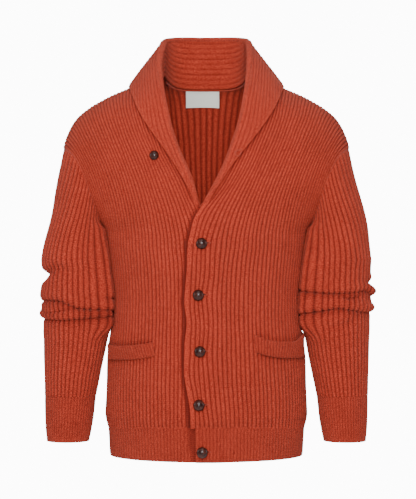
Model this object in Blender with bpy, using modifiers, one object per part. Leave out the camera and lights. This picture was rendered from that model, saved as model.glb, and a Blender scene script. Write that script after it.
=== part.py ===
"""Shawl collar cardigan in heavy rib knit, filled out as if worn, with no wearer in it.

Metres, +Z up, the front towards -Y and the wearer's left towards +X. The origin is the middle of
the neck opening, at the height where the collar meets the shoulders: the wearer's neck holds it.
Every panel is a wall with a plain inside and ribs raised in its outer points.
"""

import math

import bmesh
import bpy
import numpy as np
from mathutils import Vector

COLLECTION = "shawl_collar_cardigan"
BACKWARDS = 1  # the sign of Y on each half of the body
FORWARDS = -1
ROW_SAMPLES = 361  # fine points along a half ring, and round a whole one
RING_SAMPLES = 721

WALL = 0.0030  # from the plain inside to the middle of the ribs
RIB = 0.0008  # a rib's crest above that middle, and its valley below
FINE_RIB = 0.0005
SEAM_GAP = 0.0003
HALF_GAP = SEAM_GAP / 2
ARMHOLE_HALF_GAP = 0.00025

BACK_RIBS = 50
TOP_FRONT_RIBS = 35
UNDER_FRONT_RIBS = 32
SLEEVE_RIBS = 44
FINE_PITCH = 0.0052  # hem, cuffs and pocket welts
EDGE_STRIP = 0.009  # plain strip along a front's free edge

NECK_HALF = 0.080
NECK_POINT_HEIGHT = 0.025
RIDGE_BLEND_START = 0.055  # where the back's top edge starts to turn into the shoulder's ridge
BACK_NECK_HEIGHT = 0.007
BACK_NECK_FLATNESS = 6  # power of the rise from the middle of the back neck to the neck points
SHOULDER_END = 0.2636
SHOULDER_END_HEIGHT = -0.112
UNDERARM_HEIGHT = -0.262
FAN_HEIGHT = -0.290  # where the front ribs start to lean away from the V

HEM_TOP_FRONT = -0.616
HEM_SIDE_DROP = 0.010
HEM_BOTTOM = -0.678
CUFF_TOP = -0.567
CUFF_BOTTOM = -0.651

# Torso sections from the neck point down to the blouse over the hem.
BODY_COLUMNS = ("height", "half_width", "front_depth", "back_depth")
BODY_TABLE = (
    (0.0250, 0.0800, 0.0250, 0.0600),
    (0.0140, 0.1100, 0.0400, 0.0800),
    (0.0000, 0.1400, 0.0560, 0.0920),
    (-0.0150, 0.1750, 0.0750, 0.0980),
    (-0.0260, 0.1960, 0.0850, 0.1020),
    (-0.0370, 0.2146, 0.0930, 0.1050),
    (-0.0590, 0.2405, 0.1030, 0.1100),
    (-0.0810, 0.2535, 0.1110, 0.1145),
    (-0.1120, 0.2636, 0.1200, 0.1190),
    (-0.1370, 0.2620, 0.1245, 0.1210),
    (-0.1650, 0.2540, 0.1275, 0.1220),
    (-0.1900, 0.2410, 0.1295, 0.1220),
    (-0.2200, 0.2180, 0.1310, 0.1210),
    (-0.2470, 0.1990, 0.1310, 0.1200),
    (-0.2620, 0.1875, 0.1310, 0.1190),
    (-0.2900, 0.1820, 0.1305, 0.1170),
    (-0.3500, 0.1745, 0.1270, 0.1120),
    (-0.3860, 0.1705, 0.1250, 0.1090),
    (-0.4300, 0.1720, 0.1240, 0.1080),
    (-0.4590, 0.1780, 0.1240, 0.1090),
    (-0.5000, 0.1825, 0.1245, 0.1110),
    (-0.5480, 0.1835, 0.1260, 0.1130),
    (-0.6020, 0.1860, 0.1270, 0.1150),
    (-0.6200, 0.1870, 0.1275, 0.1150),
)
HEM_COLUMNS = ("height", "half_width", "front_depth", "back_depth")
HEM_TABLE = (
    (-0.6160, 0.1812, 0.1225, 0.1105),
    (-0.6780, 0.1775, 0.1190, 0.1080),
)

# How far out the armhole seam lies, by height.
ARMHOLE_COLUMNS = ("height", "distance")
ARMHOLE_TABLE = (
    (-0.1120, 0.2636),
    (-0.1180, 0.2550),
    (-0.1290, 0.2410),
    (-0.1540, 0.2265),
    (-0.1840, 0.2138),
    (-0.2140, 0.2040),
    (-0.2395, 0.1960),
    (-0.2620, 0.1875),
)

# Inner edges of the fronts, measured outwards from the middle on each front's own side.
FRONT_EDGE_COLUMNS = ("height", "top_front", "under_front")
FRONT_EDGE_TABLE = (
    (0.025, 0.0800, 0.0800),
    (0.014, 0.0820, 0.0840),
    (-0.012, 0.0843, 0.0917),
    (-0.038, 0.0823, 0.0897),
    (-0.080, 0.0668, 0.0732),
    (-0.122, 0.0515, 0.0585),
    (-0.155, 0.0365, 0.0425),
    (-0.182, 0.0223, 0.0297),
    (-0.206, 0.0055, 0.0200),
    (-0.224, -0.0095, 0.0115),
    (-0.245, -0.0220, 0.0040),
    (-0.266, -0.0280, -0.0030),
    (-0.290, -0.0335, -0.0090),
    (-0.330, -0.0345, -0.0100),
    (-0.390, -0.0395, -0.0100),
    (-0.430, -0.0350, -0.0100),
    (-0.470, -0.0390, -0.0100),
    (-0.510, -0.0395, -0.0100),
    (-0.560, -0.0335, -0.0100),
    (-0.602, -0.0285, -0.0100),
    (-0.640, -0.0265, -0.0100),
    (-0.678, -0.0190, -0.0100),
)
OVERLAP_LIFT = 0.0048  # how far the top front stands off the under front
OVERLAP_REACH = (0.012, 0.050)  # where that lift is full, and where it has died away
OVERLAP_HEIGHT = (-0.222, -0.182)

# Rows of the panels: heights below the fan, then shares of the way from there to the shoulder.
BACK_HEIGHTS = (-0.602, -0.490, -0.388)
FRONT_HEIGHTS = (-0.602, "pocket_bottom", "pocket_top", -0.388)
SHOULDER_SHARES = (0.0, 0.15, 0.32, 0.52, 0.72, 0.88, 0.965, 1.0)

# The pocket welts, measured outwards from the middle on each front's own side.
WELT_COLUMNS = ("distance", "left_top", "left_bottom", "right_top", "right_bottom")
WELT_TABLE = (
    (0.087, -0.452, -0.482, -0.461, -0.488),
    (0.103, -0.460, -0.488, -0.467, -0.492),
    (0.131, -0.465, -0.494, -0.472, -0.497),
    (0.155, -0.466, -0.496, -0.474, -0.499),
    (0.171, -0.455, -0.497, -0.473, -0.500),
    (0.179, -0.451, -0.497, -0.472, -0.501),
)
WELT_SPAN = {"left": (0.086, 0.1775), "right": (0.093, 0.1790)}
WELT_STEPS = 10
SLIT_SPAN = (0.104, 0.168)
SLIT_INSET = 0.005
POCKET_ROW_INNER_PART = 0.100  # rows along the pocket are drawn out to the side seam past this
WELT_LEAST_TURN = 0.985  # a welt ends at this share of the body's half width
WELT_STAND_OFF = 0.0042  # the welt's middle off the panel at its foot
WELT_GAPE = 0.0035  # and how much further at its mouth

BAG_SPAN = (0.094, 0.171)
BAG_DROP = 0.118
BAG_DEPTH = 0.018
BAG_WALL = 0.0016
BAG_STEPS = (7, 6)
BAG_FULLNESS = (0.6, 0.5)  # the lower, the fuller the dish near its edges, across and up
BAG_CLEARANCE = 0.0022

# Sleeve rings below the armhole: the bulges and creases of the gathered elbow, then the forearm.
SLEEVE_COLUMNS = ("height", "outer", "inner", "front", "back", "tilt")
SLEEVE_TABLES = {
    "left": (
        (-0.318, 0.3045, 0.1830, 0.0660, 0.0700, 0.000),
        (-0.350, 0.2985, 0.1815, 0.0605, 0.0660, -0.010),
        (-0.373, 0.3155, 0.1765, 0.0655, 0.0680, 0.003),
        (-0.393, 0.3060, 0.1760, 0.0585, 0.0630, 0.008),
        (-0.413, 0.3100, 0.1765, 0.0640, 0.0650, 0.008),
        (-0.440, 0.3010, 0.1800, 0.0590, 0.0590, 0.000),
        (-0.567, 0.2970, 0.2040, 0.0530, 0.0370, 0.000),
    ),
    "right": (
        (-0.318, 0.3045, 0.1830, 0.0660, 0.0700, 0.000),
        (-0.348, 0.2865, 0.1815, 0.0605, 0.0660, 0.000),
        (-0.377, 0.3065, 0.1765, 0.0655, 0.0680, 0.005),
        (-0.401, 0.2950, 0.1760, 0.0585, 0.0630, 0.009),
        (-0.420, 0.3085, 0.1765, 0.0640, 0.0650, 0.007),
        (-0.444, 0.3005, 0.1800, 0.0590, 0.0590, 0.004),
        (-0.567, 0.2970, 0.2040, 0.0530, 0.0370, 0.000),
    ),
}
SLEEVE_LEAVING = (0.14, 0.06, 0.22)  # how the tube leaves the armhole: outwards, its swing, its spread
SLEEVE_ARRIVING = (0.12, 0.10)  # and how it meets the first ring: its swing, its spread
UPPER_SLEEVE_STEPS = (0.36, 0.70)  # shares of the way from the armhole to the first ring
CUFF_OUTER = 0.2940
CUFF_INNER = 0.2155
CUFF_FRONT = 0.0500
CUFF_BACK = 0.0240

# Collar stations from the middle of the back to the point of the V: the roll at the top of the
# fold, the seam to the body, the fall's free edge, and how far each leans to the wearer's right.
COLLAR_COLUMNS = (
    "roll_x", "roll_y", "roll_z", "seam_x", "seam_z", "edge_x", "edge_z", "roll_lean", "edge_lean",
)
COLLAR_TABLE = (
    (0.0000, 0.0870, 0.1045, 0.0000, 0.007, 0.0000, 0.002, 0.0000, 0.000),
    (0.0420, 0.0820, 0.1030, 0.0400, 0.011, 0.0580, -0.003, 0.0015, 0.000),
    (0.0715, 0.0600, 0.0970, 0.0680, 0.020, 0.1100, -0.006, 0.0030, 0.000),
    (0.0800, 0.0220, 0.0855, 0.0800, 0.025, 0.1405, 0.003, 0.0035, 0.000),
    (0.0795, -0.0180, 0.0610, 0.0830, 0.014, 0.1385, -0.010, 0.0040, 0.000),
    (0.0755, -0.0500, 0.026, 0.0880, -0.0128, 0.1300, -0.030, 0.0040, 0.000),
    (0.0705, -0.0810, -0.014, 0.0860, -0.038, 0.1180, -0.055, 0.0037, 0.001),
    (0.0595, -0.1030, -0.071, 0.0750, -0.0632, 0.0985, -0.085, 0.0032, 0.002),
    (0.0455, -0.1165, -0.117, 0.0520, -0.1262, 0.0735, -0.118, 0.0035, 0.003),
    (0.0305, -0.1245, -0.150, 0.0350, -0.155, 0.0505, -0.149, 0.0025, 0.005),
    (0.0180, -0.1290, -0.177, 0.0220, -0.182, 0.0335, -0.176, 0.0037, 0.006),
    (0.0080, -0.1320, -0.202, 0.0100, -0.204, 0.0170, -0.201, 0.0073, 0.007),
)
COLLAR_LAST_BACK_STATION = 3  # rows of the table up to this one are sewn to the back
COLLAR_STATIONS = 11  # on each side of the middle of the back
COLLAR_FOLD = 0.0032  # inside radius of the fold
COLLAR_REST = 0.0030  # the fall's underside off the front
COLLAR_BACK_REST = 0.0054
COLLAR_FOOT_GAP = 0.0008
COLLAR_LEAST_STAND = 0.0010
COLLAR_LEAST_FOLD = 0.0010
COLLAR_STAND_RIBS = 7
COLLAR_FOLD_RIBS = 2
COLLAR_FALL_RIBS = 7
COLLAR_PLAIN_STEPS = (3, 2, 3)
FOLD_SAMPLES = 13

BUTTON_COLUMNS = ("name", "x", "z", "diameter")
BUTTON_TABLE = (
    ("button_1", -0.0083, -0.2884, 0.0205),
    ("button_2", -0.0140, -0.3800, 0.0205),
    ("button_3", -0.0113, -0.4800, 0.0205),
    ("button_4", -0.0129, -0.5748, 0.0205),
    ("button_5", -0.0072, -0.6590, 0.0205),
    ("button_chest", -0.0924, -0.1318, 0.0175),
)
BUTTON_SIDES = 12
# Profile of a button: share of its radius, share of its diameter above the cloth.
BUTTON_PROFILE = ((0.0, 0.46), (0.42, 0.42), (0.76, 0.30), (1.0, 0.12), (0.80, 0.0), (0.0, 0.0))

LABEL_CENTRE = (-0.0073, -0.0130)
LABEL_SIZE = (0.0630, 0.0327)
LABEL_THICKNESS = 0.0006
LABEL_STAND_OFF = 0.0012
LABEL_STEPS = (5, 3)

WOOL = (0.46, 0.053, 0.027)
WELT_WOOL = (0.40, 0.046, 0.024)
LEATHER = (0.045, 0.012, 0.007)
LABEL_CLOTH = (0.68, 0.70, 0.64)


def monotone(heights, values):
    """A smooth function through the given values that never swings past them."""
    order = np.argsort(heights)
    x = np.asarray(heights, float)[order]
    y = np.asarray(values, float)[order]
    step = np.diff(x)
    slope = np.diff(y) / step
    tangent = np.zeros_like(y)
    turning = slope[:-1] * slope[1:] > 0
    safe = np.where(turning[:, None], np.stack([slope[:-1], slope[1:]], axis=1), 1.0)
    mean = 2.0 / (1.0 / safe[:, 0] + 1.0 / safe[:, 1])
    tangent[1:-1] = np.where(turning, mean, 0.0)
    tangent[0] = slope[0]
    tangent[-1] = slope[-1]

    def at(value):
        value = np.clip(np.asarray(value, float), x[0], x[-1])
        i = np.clip(np.searchsorted(x, value, side="right") - 1, 0, len(step) - 1)
        t = (value - x[i]) / step[i]
        start = y[i] * (1 + 2 * t) * (1 - t) ** 2 + tangent[i] * step[i] * t * (1 - t) ** 2
        end = y[i + 1] * (3 - 2 * t) * t**2 - tangent[i + 1] * step[i] * t**2 * (1 - t)
        return start + end

    return at


def curves_of(columns, table):
    """One smooth function of the table's first column for each of its other columns."""
    data = list(zip(*table))
    return {name: monotone(data[0], data[i]) for i, name in enumerate(columns) if i}


BODY = curves_of(BODY_COLUMNS, BODY_TABLE)
HEM = curves_of(HEM_COLUMNS, HEM_TABLE)
ARMHOLE = curves_of(ARMHOLE_COLUMNS, ARMHOLE_TABLE)["distance"]
FRONT_EDGE = curves_of(FRONT_EDGE_COLUMNS, FRONT_EDGE_TABLE)
WELT = curves_of(WELT_COLUMNS, WELT_TABLE)
SLEEVE = {side: curves_of(SLEEVE_COLUMNS, table) for side, table in SLEEVE_TABLES.items()}

SHOULDER_HEIGHTS = np.linspace(SHOULDER_END_HEIGHT, NECK_POINT_HEIGHT, 400)
SHOULDER_DISTANCES = BODY["half_width"](SHOULDER_HEIGHTS)


def smoothstep(value, start, end):
    """0 before start, 1 after end, and smooth between."""
    t = np.clip((value - start) / (end - start), 0.0, 1.0)
    return t * t * (3 - 2 * t)


def unit(vectors):
    """The vectors with length 1."""
    return vectors / np.maximum(np.linalg.norm(vectors, axis=-1, keepdims=True), 1e-12)


def shoulder_height(distance):
    """Height of the shoulder's ridge at this distance from the middle."""
    return np.interp(-np.abs(distance), -SHOULDER_DISTANCES, SHOULDER_HEIGHTS)


def back_top_height(distance):
    """Top of the back: the shoulder's ridge, and the back neck between the two neck points."""
    away = np.abs(distance)
    rise = (away / NECK_HALF) ** BACK_NECK_FLATNESS
    neck = BACK_NECK_HEIGHT + (NECK_POINT_HEIGHT - BACK_NECK_HEIGHT) * rise
    return np.where(away < NECK_HALF, neck, shoulder_height(distance))


def depth_at(x, z, towards):
    """How far forward or back the torso reaches at this place, as a signed Y."""
    depth = BODY["front_depth"](z) if towards == FORWARDS else BODY["back_depth"](z)
    share = np.clip(x / BODY["half_width"](z), -1.0, 1.0)
    return towards * depth * np.sqrt(1.0 - share**2)


def body_normal(x, z, towards, reach=0.002):
    """Outward direction of the torso, from two short steps along its surface."""
    def point(px, pz):
        return np.stack([px, depth_at(px, pz, towards), pz], axis=-1)

    across = point(x + reach, z) - point(x - reach, z)
    up = point(x, z + reach) - point(x, z - reach)
    return unit(np.cross(across, up)) * -towards


def on_body(x, z, towards, lift=0.0):
    """A point on the torso, moved out by lift."""
    x = np.asarray(x, float)
    z = np.asarray(z, float)
    place = np.stack([x, depth_at(x, z, towards), z], axis=-1)
    return place + body_normal(x, z, towards) * lift if lift else place


def lengths_along(points):
    """Distance run along a row of points, from 0."""
    steps = np.linalg.norm(np.diff(points, axis=0), axis=1)
    return np.concatenate([[0.0], np.cumsum(steps)])


def resample(points, shares):
    """Points at these shares of a row's length."""
    run = lengths_along(points)
    wanted = np.asarray(shares) * run[-1]
    return np.stack([np.interp(wanted, run, points[:, i]) for i in range(3)], axis=1)


def rib_pattern(count, crest):
    """Alternate valleys and crests, starting and ending in a valley."""
    return np.where(np.arange(count) % 2 == 1, crest, -crest)


def grid_normals(grid, closed):
    """Outward directions of a grid of rows: rows run upwards and columns anticlockwise from above."""
    if closed:
        across = np.roll(grid, -1, axis=1) - np.roll(grid, 1, axis=1)
    else:
        across = np.gradient(grid, axis=1)
    return unit(np.cross(across, np.gradient(grid, axis=0)))


def new_material(name, colour, roughness):
    """A plain Principled material."""
    material = bpy.data.materials.new(name)
    material.use_nodes = True
    shader = material.node_tree.nodes["Principled BSDF"]
    shader.inputs["Base Color"].default_value = (*colour, 1.0)
    shader.inputs["Roughness"].default_value = roughness
    shader.inputs["Metallic"].default_value = 0.0
    material.diffuse_color = (*colour, 1.0)
    return material


def finish_object(name, mesh, material, collection):
    """An object in the collection, shaded smooth but for its sharp edges."""
    obj = bpy.data.objects.new(name, mesh)
    collection.objects.link(obj)
    mesh.materials.append(material)
    mesh.shade_smooth()
    mesh.set_sharp_from_angle(angle=math.radians(50))
    return obj


def even_picks(count, segments, fixed=()):
    """Columns that carry the plain inside: about evenly spaced, with the fixed ones among them."""
    marks = sorted({0, count, *fixed})
    picks = []
    for start, end in zip(marks, marks[1:]):
        parts = max(1, round(segments * (end - start) / count))
        picks += [round(start + (end - start) * i / parts) for i in range(parts)]
    return [*picks, count]


def add_wall(name, outer, inner, picks, closed, material, collection, slit=None):
    """One closed solid between a fine outer grid and a coarse inner grid.

    picks gives the outer column over each inner column. A slit is (row, first column, last column):
    that stretch is left out of both skins and rimmed.
    """
    mesh_data = bmesh.new()
    rows, columns = outer.shape[:2]
    skin = [[mesh_data.verts.new(p) for p in row] for row in outer]
    lining = [[mesh_data.verts.new(p) for p in row] for row in inner]

    def outer_at(row, column):
        return skin[row][column % columns]

    def inner_at(row, pick):
        return lining[row][pick % len(lining[row])]

    def is_open(row, column):
        return slit is not None and row == slit[0] and slit[1] <= column < slit[2]

    def rim(row, pick):
        edge = [outer_at(row, c) for c in range(picks[pick], picks[pick + 1] + 1)]
        mesh_data.faces.new([*edge, inner_at(row, pick + 1), inner_at(row, pick)])

    def post(row, column, pick):
        mesh_data.faces.new(
            [outer_at(row, column), outer_at(row + 1, column), inner_at(row + 1, pick), inner_at(row, pick)]
        )

    for row in range(rows - 1):
        for column in range(picks[-1]):
            if not is_open(row, column):
                corners = ((row, column), (row, column + 1), (row + 1, column + 1), (row + 1, column))
                mesh_data.faces.new([outer_at(*corner) for corner in corners])
        for pick in range(len(picks) - 1):
            if not is_open(row, picks[pick]):
                corners = ((row, pick), (row, pick + 1), (row + 1, pick + 1), (row + 1, pick))
                mesh_data.faces.new([inner_at(*corner) for corner in corners])
    for pick in range(len(picks) - 1):
        rim(0, pick)
        rim(rows - 1, pick)
        if is_open(slit[0] if slit else -1, picks[pick]):
            rim(slit[0], pick)
            rim(slit[0] + 1, pick)
    if not closed:
        for row in range(rows - 1):
            post(row, 0, 0)
            post(row, picks[-1], len(picks) - 1)
    if slit:
        post(slit[0], slit[1], picks.index(slit[1]))
        post(slit[0], slit[2], picks.index(slit[2]))
    bmesh.ops.recalc_face_normals(mesh_data, faces=mesh_data.faces)
    mesh = bpy.data.meshes.new(name)
    mesh_data.to_mesh(mesh)
    mesh_data.free()
    return finish_object(name, mesh, material, collection)


def thicken(grid, outward, relief, picks, wall=WALL):
    """The ribbed outer grid and the plain inner grid on either side of a panel's middle surface."""
    outer = grid + outward * np.asarray(relief)[..., None]
    inner = (grid - outward * wall)[:, picks if picks[-1] < grid.shape[1] else picks[:-1]]
    return outer, inner


def armhole_points(towards):
    """The armhole seam's corners on the front or back, from the underarm up to the shoulder."""
    shares = np.asarray(SHOULDER_SHARES)
    z = UNDERARM_HEIGHT + (SHOULDER_END_HEIGHT - UNDERARM_HEIGHT) * shares
    x = ARMHOLE(z)
    y = depth_at(x, z, towards)
    y[0] = 0.0
    y[-1] = 0.0
    return np.stack([x, y, z], axis=1)


ARMHOLE_CENTRE = np.concatenate([armhole_points(FORWARDS), armhole_points(BACKWARDS)]).mean(axis=0)
ARMHOLE_CHORD = unit(
    np.array([SHOULDER_END - ARMHOLE(UNDERARM_HEIGHT), 0.0, SHOULDER_END_HEIGHT - UNDERARM_HEIGHT])
)
ARMHOLE_AXIS = np.array([ARMHOLE_CHORD[2], 0.0, -ARMHOLE_CHORD[0]])  # from the body into the sleeve


def armhole_outward(points):
    """The seam's outward direction at the armhole, away from the middle of the opening."""
    away = points - ARMHOLE_CENTRE
    away -= ARMHOLE_AXIS * (away @ ARMHOLE_AXIS)[..., None]
    return unit(away)


def ridge_outward(points):
    """Outward direction along the shoulder's ridge, the same for the front and the back."""
    along = np.gradient(points, axis=0)
    normal = np.stack([-along[:, 2], np.zeros(len(points)), along[:, 0]], axis=1)
    return unit(normal * np.sign(normal[:, 2:3] + 1e-9))


def hem_height(share):
    """Height of the hem seam, which hangs lower at the sides; share is 0 in front and 1 at a side."""
    return HEM_TOP_FRONT - HEM_SIDE_DROP * share**2


def hem_ring(x_share, height, towards):
    """Points of the hem at these shares of its half width."""
    depth = HEM["front_depth"](height) if towards == FORWARDS else HEM["back_depth"](height)
    x = HEM["half_width"](height) * x_share
    return np.stack([x, towards * depth * np.sqrt(np.clip(1.0 - x_share**2, 0.0, 1.0)), height], axis=-1)


def back_row(height=None, share=None):
    """One row of the back, from the wearer's right side to the left, finely sampled."""
    angle = np.linspace(-math.pi / 2, math.pi / 2, ROW_SAMPLES)
    if height is not None:
        x = float(BODY["half_width"](height)) * np.sin(angle)
        z = np.full_like(x, height)
    else:
        end_height = UNDERARM_HEIGHT + (SHOULDER_END_HEIGHT - UNDERARM_HEIGHT) * share
        x = float(ARMHOLE(end_height)) * np.sin(angle)
        top = back_top_height(SHOULDER_END * np.sin(angle))
        z = UNDERARM_HEIGHT * (1 - share) + top * share
    y = depth_at(x, z, BACKWARDS)
    if share == 1.0:
        y = np.where(np.abs(x) >= NECK_HALF, 0.0, y)
    return np.stack([x, y, z], axis=1)


def back_grid():
    """The middle surface of the back and its outward directions."""
    shares = np.linspace(0.0, 1.0, 2 * BACK_RIBS + 1)
    angle = np.linspace(-math.pi / 2, math.pi / 2, ROW_SAMPLES)
    hem = hem_ring(np.sin(angle), hem_height(np.sin(angle)), BACKWARDS)
    rows = [resample(hem, shares)]
    rows += [resample(back_row(height=h), shares) for h in BACK_HEIGHTS]
    rows += [resample(back_row(share=s), shares) for s in SHOULDER_SHARES]
    # Columns run anticlockwise from above, which on the back is from +X to -X.
    grid = np.array(rows)[:, ::-1]
    outward = grid_normals(grid, closed=False)
    outward[0, :, 2] = 0.0
    outward[0] = unit(outward[0])
    top = grid[-1]
    ridge = ridge_outward(top[::-1])[::-1]
    on_ridge = smoothstep(np.abs(top[:, 0]), RIDGE_BLEND_START, NECK_HALF)[:, None]
    outward[-1] = unit(outward[-1] * (1 - on_ridge) + ridge * on_ridge)
    seam_rows = 1 + len(BACK_HEIGHTS)
    for column, side in ((0, 1), (-1, -1)):
        outward[:seam_rows, column] = (side, 0.0, 0.0)
        mirrored = grid[seam_rows:, column] * (side, 1, 1)
        outward[seam_rows:, column] = armhole_outward(mirrored) * (side, 1, 1)
    return grid, outward


def open_back_seams(grid):
    """The back's grid drawn off its neighbours by half a seam gap."""
    seam_rows = 1 + len(BACK_HEIGHTS)
    grid[0, :, 2] += HALF_GAP
    for column, side in ((0, 1), (-1, -1)):
        grid[:seam_rows, column, 1] += HALF_GAP
        grid[seam_rows:, column] -= ARMHOLE_AXIS * (side, 1, 1) * ARMHOLE_HALF_GAP
        grid[seam_rows:, column, 1] += HALF_GAP
    top_x = np.abs(grid[-1, :, 0])
    grid[-1, :, 1] += np.where(top_x >= NECK_HALF - 0.001, HALF_GAP, 0.0)
    return grid


def build_back(name, material, collection):
    """The back panel."""
    grid, outward = back_grid()
    relief = np.tile(rib_pattern(grid.shape[1], RIB), (len(grid), 1))
    relief[1 + len(BACK_HEIGHTS):, [0, -1]] = 0.0
    picks = even_picks(grid.shape[1] - 1, 14)
    outer, inner = thicken(open_back_seams(grid), outward, relief, picks)
    return add_wall(name, outer, inner, picks, False, material, collection)


class Front:
    """One front, worked out at +X and mirrored onto its own side at the end."""

    def __init__(self, side):
        self.side = side
        self.left = side > 0
        self.edge = FRONT_EDGE["top_front" if self.left else "under_front"]
        self.ribs = TOP_FRONT_RIBS if self.left else UNDER_FRONT_RIBS
        welt = "left" if self.left else "right"
        self.welt_span = WELT_SPAN[welt]
        self.welt_top = WELT[f"{welt}_top"]
        self.welt_bottom = WELT[f"{welt}_bottom"]

    def lift(self, x, z):
        """The top front stands off the under front where they overlap."""
        if not self.left:
            return np.zeros_like(x)
        near = 1.0 - smoothstep(x, *OVERLAP_REACH)
        return OVERLAP_LIFT * near * (1.0 - smoothstep(z, *OVERLAP_HEIGHT))

    def point(self, x, z):
        """A point on the front's middle surface."""
        place = on_body(x, z, FORWARDS)
        place[..., 1] -= self.lift(x, z)
        return place

    def row_x(self, start, end):
        """Finely spaced distances from the inner edge to the side, closer together towards the side."""
        return start + (end - start) * np.sin(np.linspace(0.0, math.pi / 2, ROW_SAMPLES))

    def row(self, height=None, share=None):
        """One row of the front, from its inner edge outwards, finely sampled."""
        if share is not None:
            start_height = FAN_HEIGHT * (1 - share) + NECK_POINT_HEIGHT * share
            end_height = UNDERARM_HEIGHT * (1 - share) + SHOULDER_END_HEIGHT * share
            x = self.row_x(float(self.edge(start_height)), float(ARMHOLE(end_height)))
            t = (x - x[0]) / (x[-1] - x[0])
            top = shoulder_height(NECK_HALF + (SHOULDER_END - NECK_HALF) * t)
            z = (FAN_HEIGHT + (UNDERARM_HEIGHT - FAN_HEIGHT) * t) * (1 - share) + top * share
        elif height in ("pocket_top", "pocket_bottom"):
            guide = self.welt_top if height == "pocket_top" else self.welt_bottom
            inset = -SLIT_INSET if height == "pocket_top" else SLIT_INSET
            level = float(guide(self.welt_span[0])) + inset
            x = self.row_x(float(self.edge(level)), float(BODY["half_width"](level)))
            z = guide(np.clip(x, *self.welt_span)) + inset
            stretch = BODY["half_width"](z) / BODY["half_width"](level)
            x = x * np.where(x > POCKET_ROW_INNER_PART, stretch, 1.0)
        else:
            x = self.row_x(float(self.edge(height)), float(BODY["half_width"](height)))
            z = np.full_like(x, height)
        points = self.point(x, z)
        if share == 1.0:
            points[:, 1] = 0.0
        return points

    def hem_row(self):
        """The front's lowest row, on the hem's upper ring."""
        x_share = self.row_x(float(self.edge(HEM_TOP_FRONT)), float(HEM["half_width"](HEM_TOP_FRONT)))
        x_share = np.clip(x_share / float(HEM["half_width"](HEM_TOP_FRONT)), -1.0, 1.0)
        points = hem_ring(x_share, hem_height(x_share), FORWARDS)
        points[:, 1] -= self.lift(points[:, 0], points[:, 2])
        return points

    def column_shares(self, points):
        """A plain strip along the free edge, then the ribs."""
        strip = EDGE_STRIP / lengths_along(points)[-1]
        return np.concatenate([[0.0], np.linspace(strip, 1.0, 2 * self.ribs + 1)])

    def grid(self):
        """The middle surface and outward directions, with columns from the inner edge outwards."""
        fine = [self.hem_row()]
        fine += [self.row(height=h) for h in FRONT_HEIGHTS]
        fine += [self.row(share=s) for s in SHOULDER_SHARES]
        grid = np.array([resample(row, self.column_shares(row)) for row in fine])
        outward = grid_normals(grid, closed=False)
        outward[0, :, 2] = 0.0
        outward[0] = unit(outward[0])
        outward[-1] = ridge_outward(grid[-1])
        seam_rows = 1 + len(FRONT_HEIGHTS)
        outward[:seam_rows, -1] = (1.0, 0.0, 0.0)
        outward[seam_rows:, -1] = armhole_outward(grid[seam_rows:, -1])
        return grid, outward

    def relief(self):
        """Heights of the columns: the plain strip, then valleys and crests, and none on the armhole seam."""
        ribs = rib_pattern(2 * self.ribs + 1, RIB)
        rows = 1 + len(FRONT_HEIGHTS) + len(SHOULDER_SHARES)
        relief = np.tile(np.concatenate([[0.0], ribs]), (rows, 1))
        relief[1 + len(FRONT_HEIGHTS):, -1] = 0.0
        return relief

    def build(self, name, material, collection):
        """The panel with its pocket slit."""
        grid, outward = self.grid()
        seam_rows = 1 + len(FRONT_HEIGHTS)
        grid[0, :, 2] += HALF_GAP
        grid[:seam_rows, -1, 1] -= HALF_GAP
        grid[seam_rows:, -1] -= ARMHOLE_AXIS * ARMHOLE_HALF_GAP
        grid[seam_rows:, -1, 1] -= HALF_GAP
        grid[-1, :, 1] -= HALF_GAP
        slit_row = 1 + FRONT_HEIGHTS.index("pocket_bottom")
        distances = grid[slit_row, :, 0]
        first, last = (int(np.argmin(np.abs(distances - d))) for d in SLIT_SPAN)
        picks = even_picks(grid.shape[1] - 1, 9, fixed=(first, last))
        outer, inner = thicken(grid, outward, self.relief(), picks)
        flip = np.array([self.side, 1.0, 1.0])
        add_wall(
            name, outer * flip, inner * flip, picks, False, material, collection, slit=(slit_row, first, last)
        )


def sleeve_ring(height, side_name):
    """One ring of the sleeve, finely sampled from the outer side over the front and round the back."""
    extents = [float(SLEEVE[side_name][c](height)) for c in ("outer", "inner", "front", "back")]
    return oval_ring(*extents, height, float(SLEEVE[side_name]["tilt"](height)))


def oval_ring(outer, inner, front, back, height, tilt=0.0):
    """An oval ring between four extents, whose outer side is raised and inner side lowered by tilt."""
    angle = np.linspace(0.0, 2 * math.pi, RING_SAMPLES)
    x = (outer + inner) / 2 + (outer - inner) / 2 * np.cos(angle)
    y = (back - front) / 2 - (front + back) / 2 * np.sin(angle)
    return np.stack([x, y, height + tilt * np.cos(angle)], axis=1)


def cuff_ring(height):
    """One ring of the cuff, between the sleeve's end and the cuff's mouth."""
    share = (CUFF_TOP - height) / (CUFF_TOP - CUFF_BOTTOM)
    top = [float(SLEEVE["left"][c](CUFF_TOP)) for c in ("outer", "inner", "front", "back")]
    mouth = (CUFF_OUTER, CUFF_INNER, CUFF_FRONT, CUFF_BACK)
    return oval_ring(*(a + (b - a) * share for a, b in zip(top, mouth)), height)


def armhole_ring(columns):
    """The sleeve's top ring: the body's own seam corners, with the columns shared out between them."""
    front = armhole_points(FORWARDS)[::-1]
    back = armhole_points(BACKWARDS)[1:]
    corners = np.concatenate([front, back])
    run = lengths_along(corners)
    marks = [round(columns * r / run[-1]) for r in run]
    ring = []
    for start, end, a, b in zip(marks, marks[1:], corners, corners[1:]):
        ring += [a + (b - a) * i / (end - start) for i in range(end - start)]
    return np.array(ring)


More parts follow.
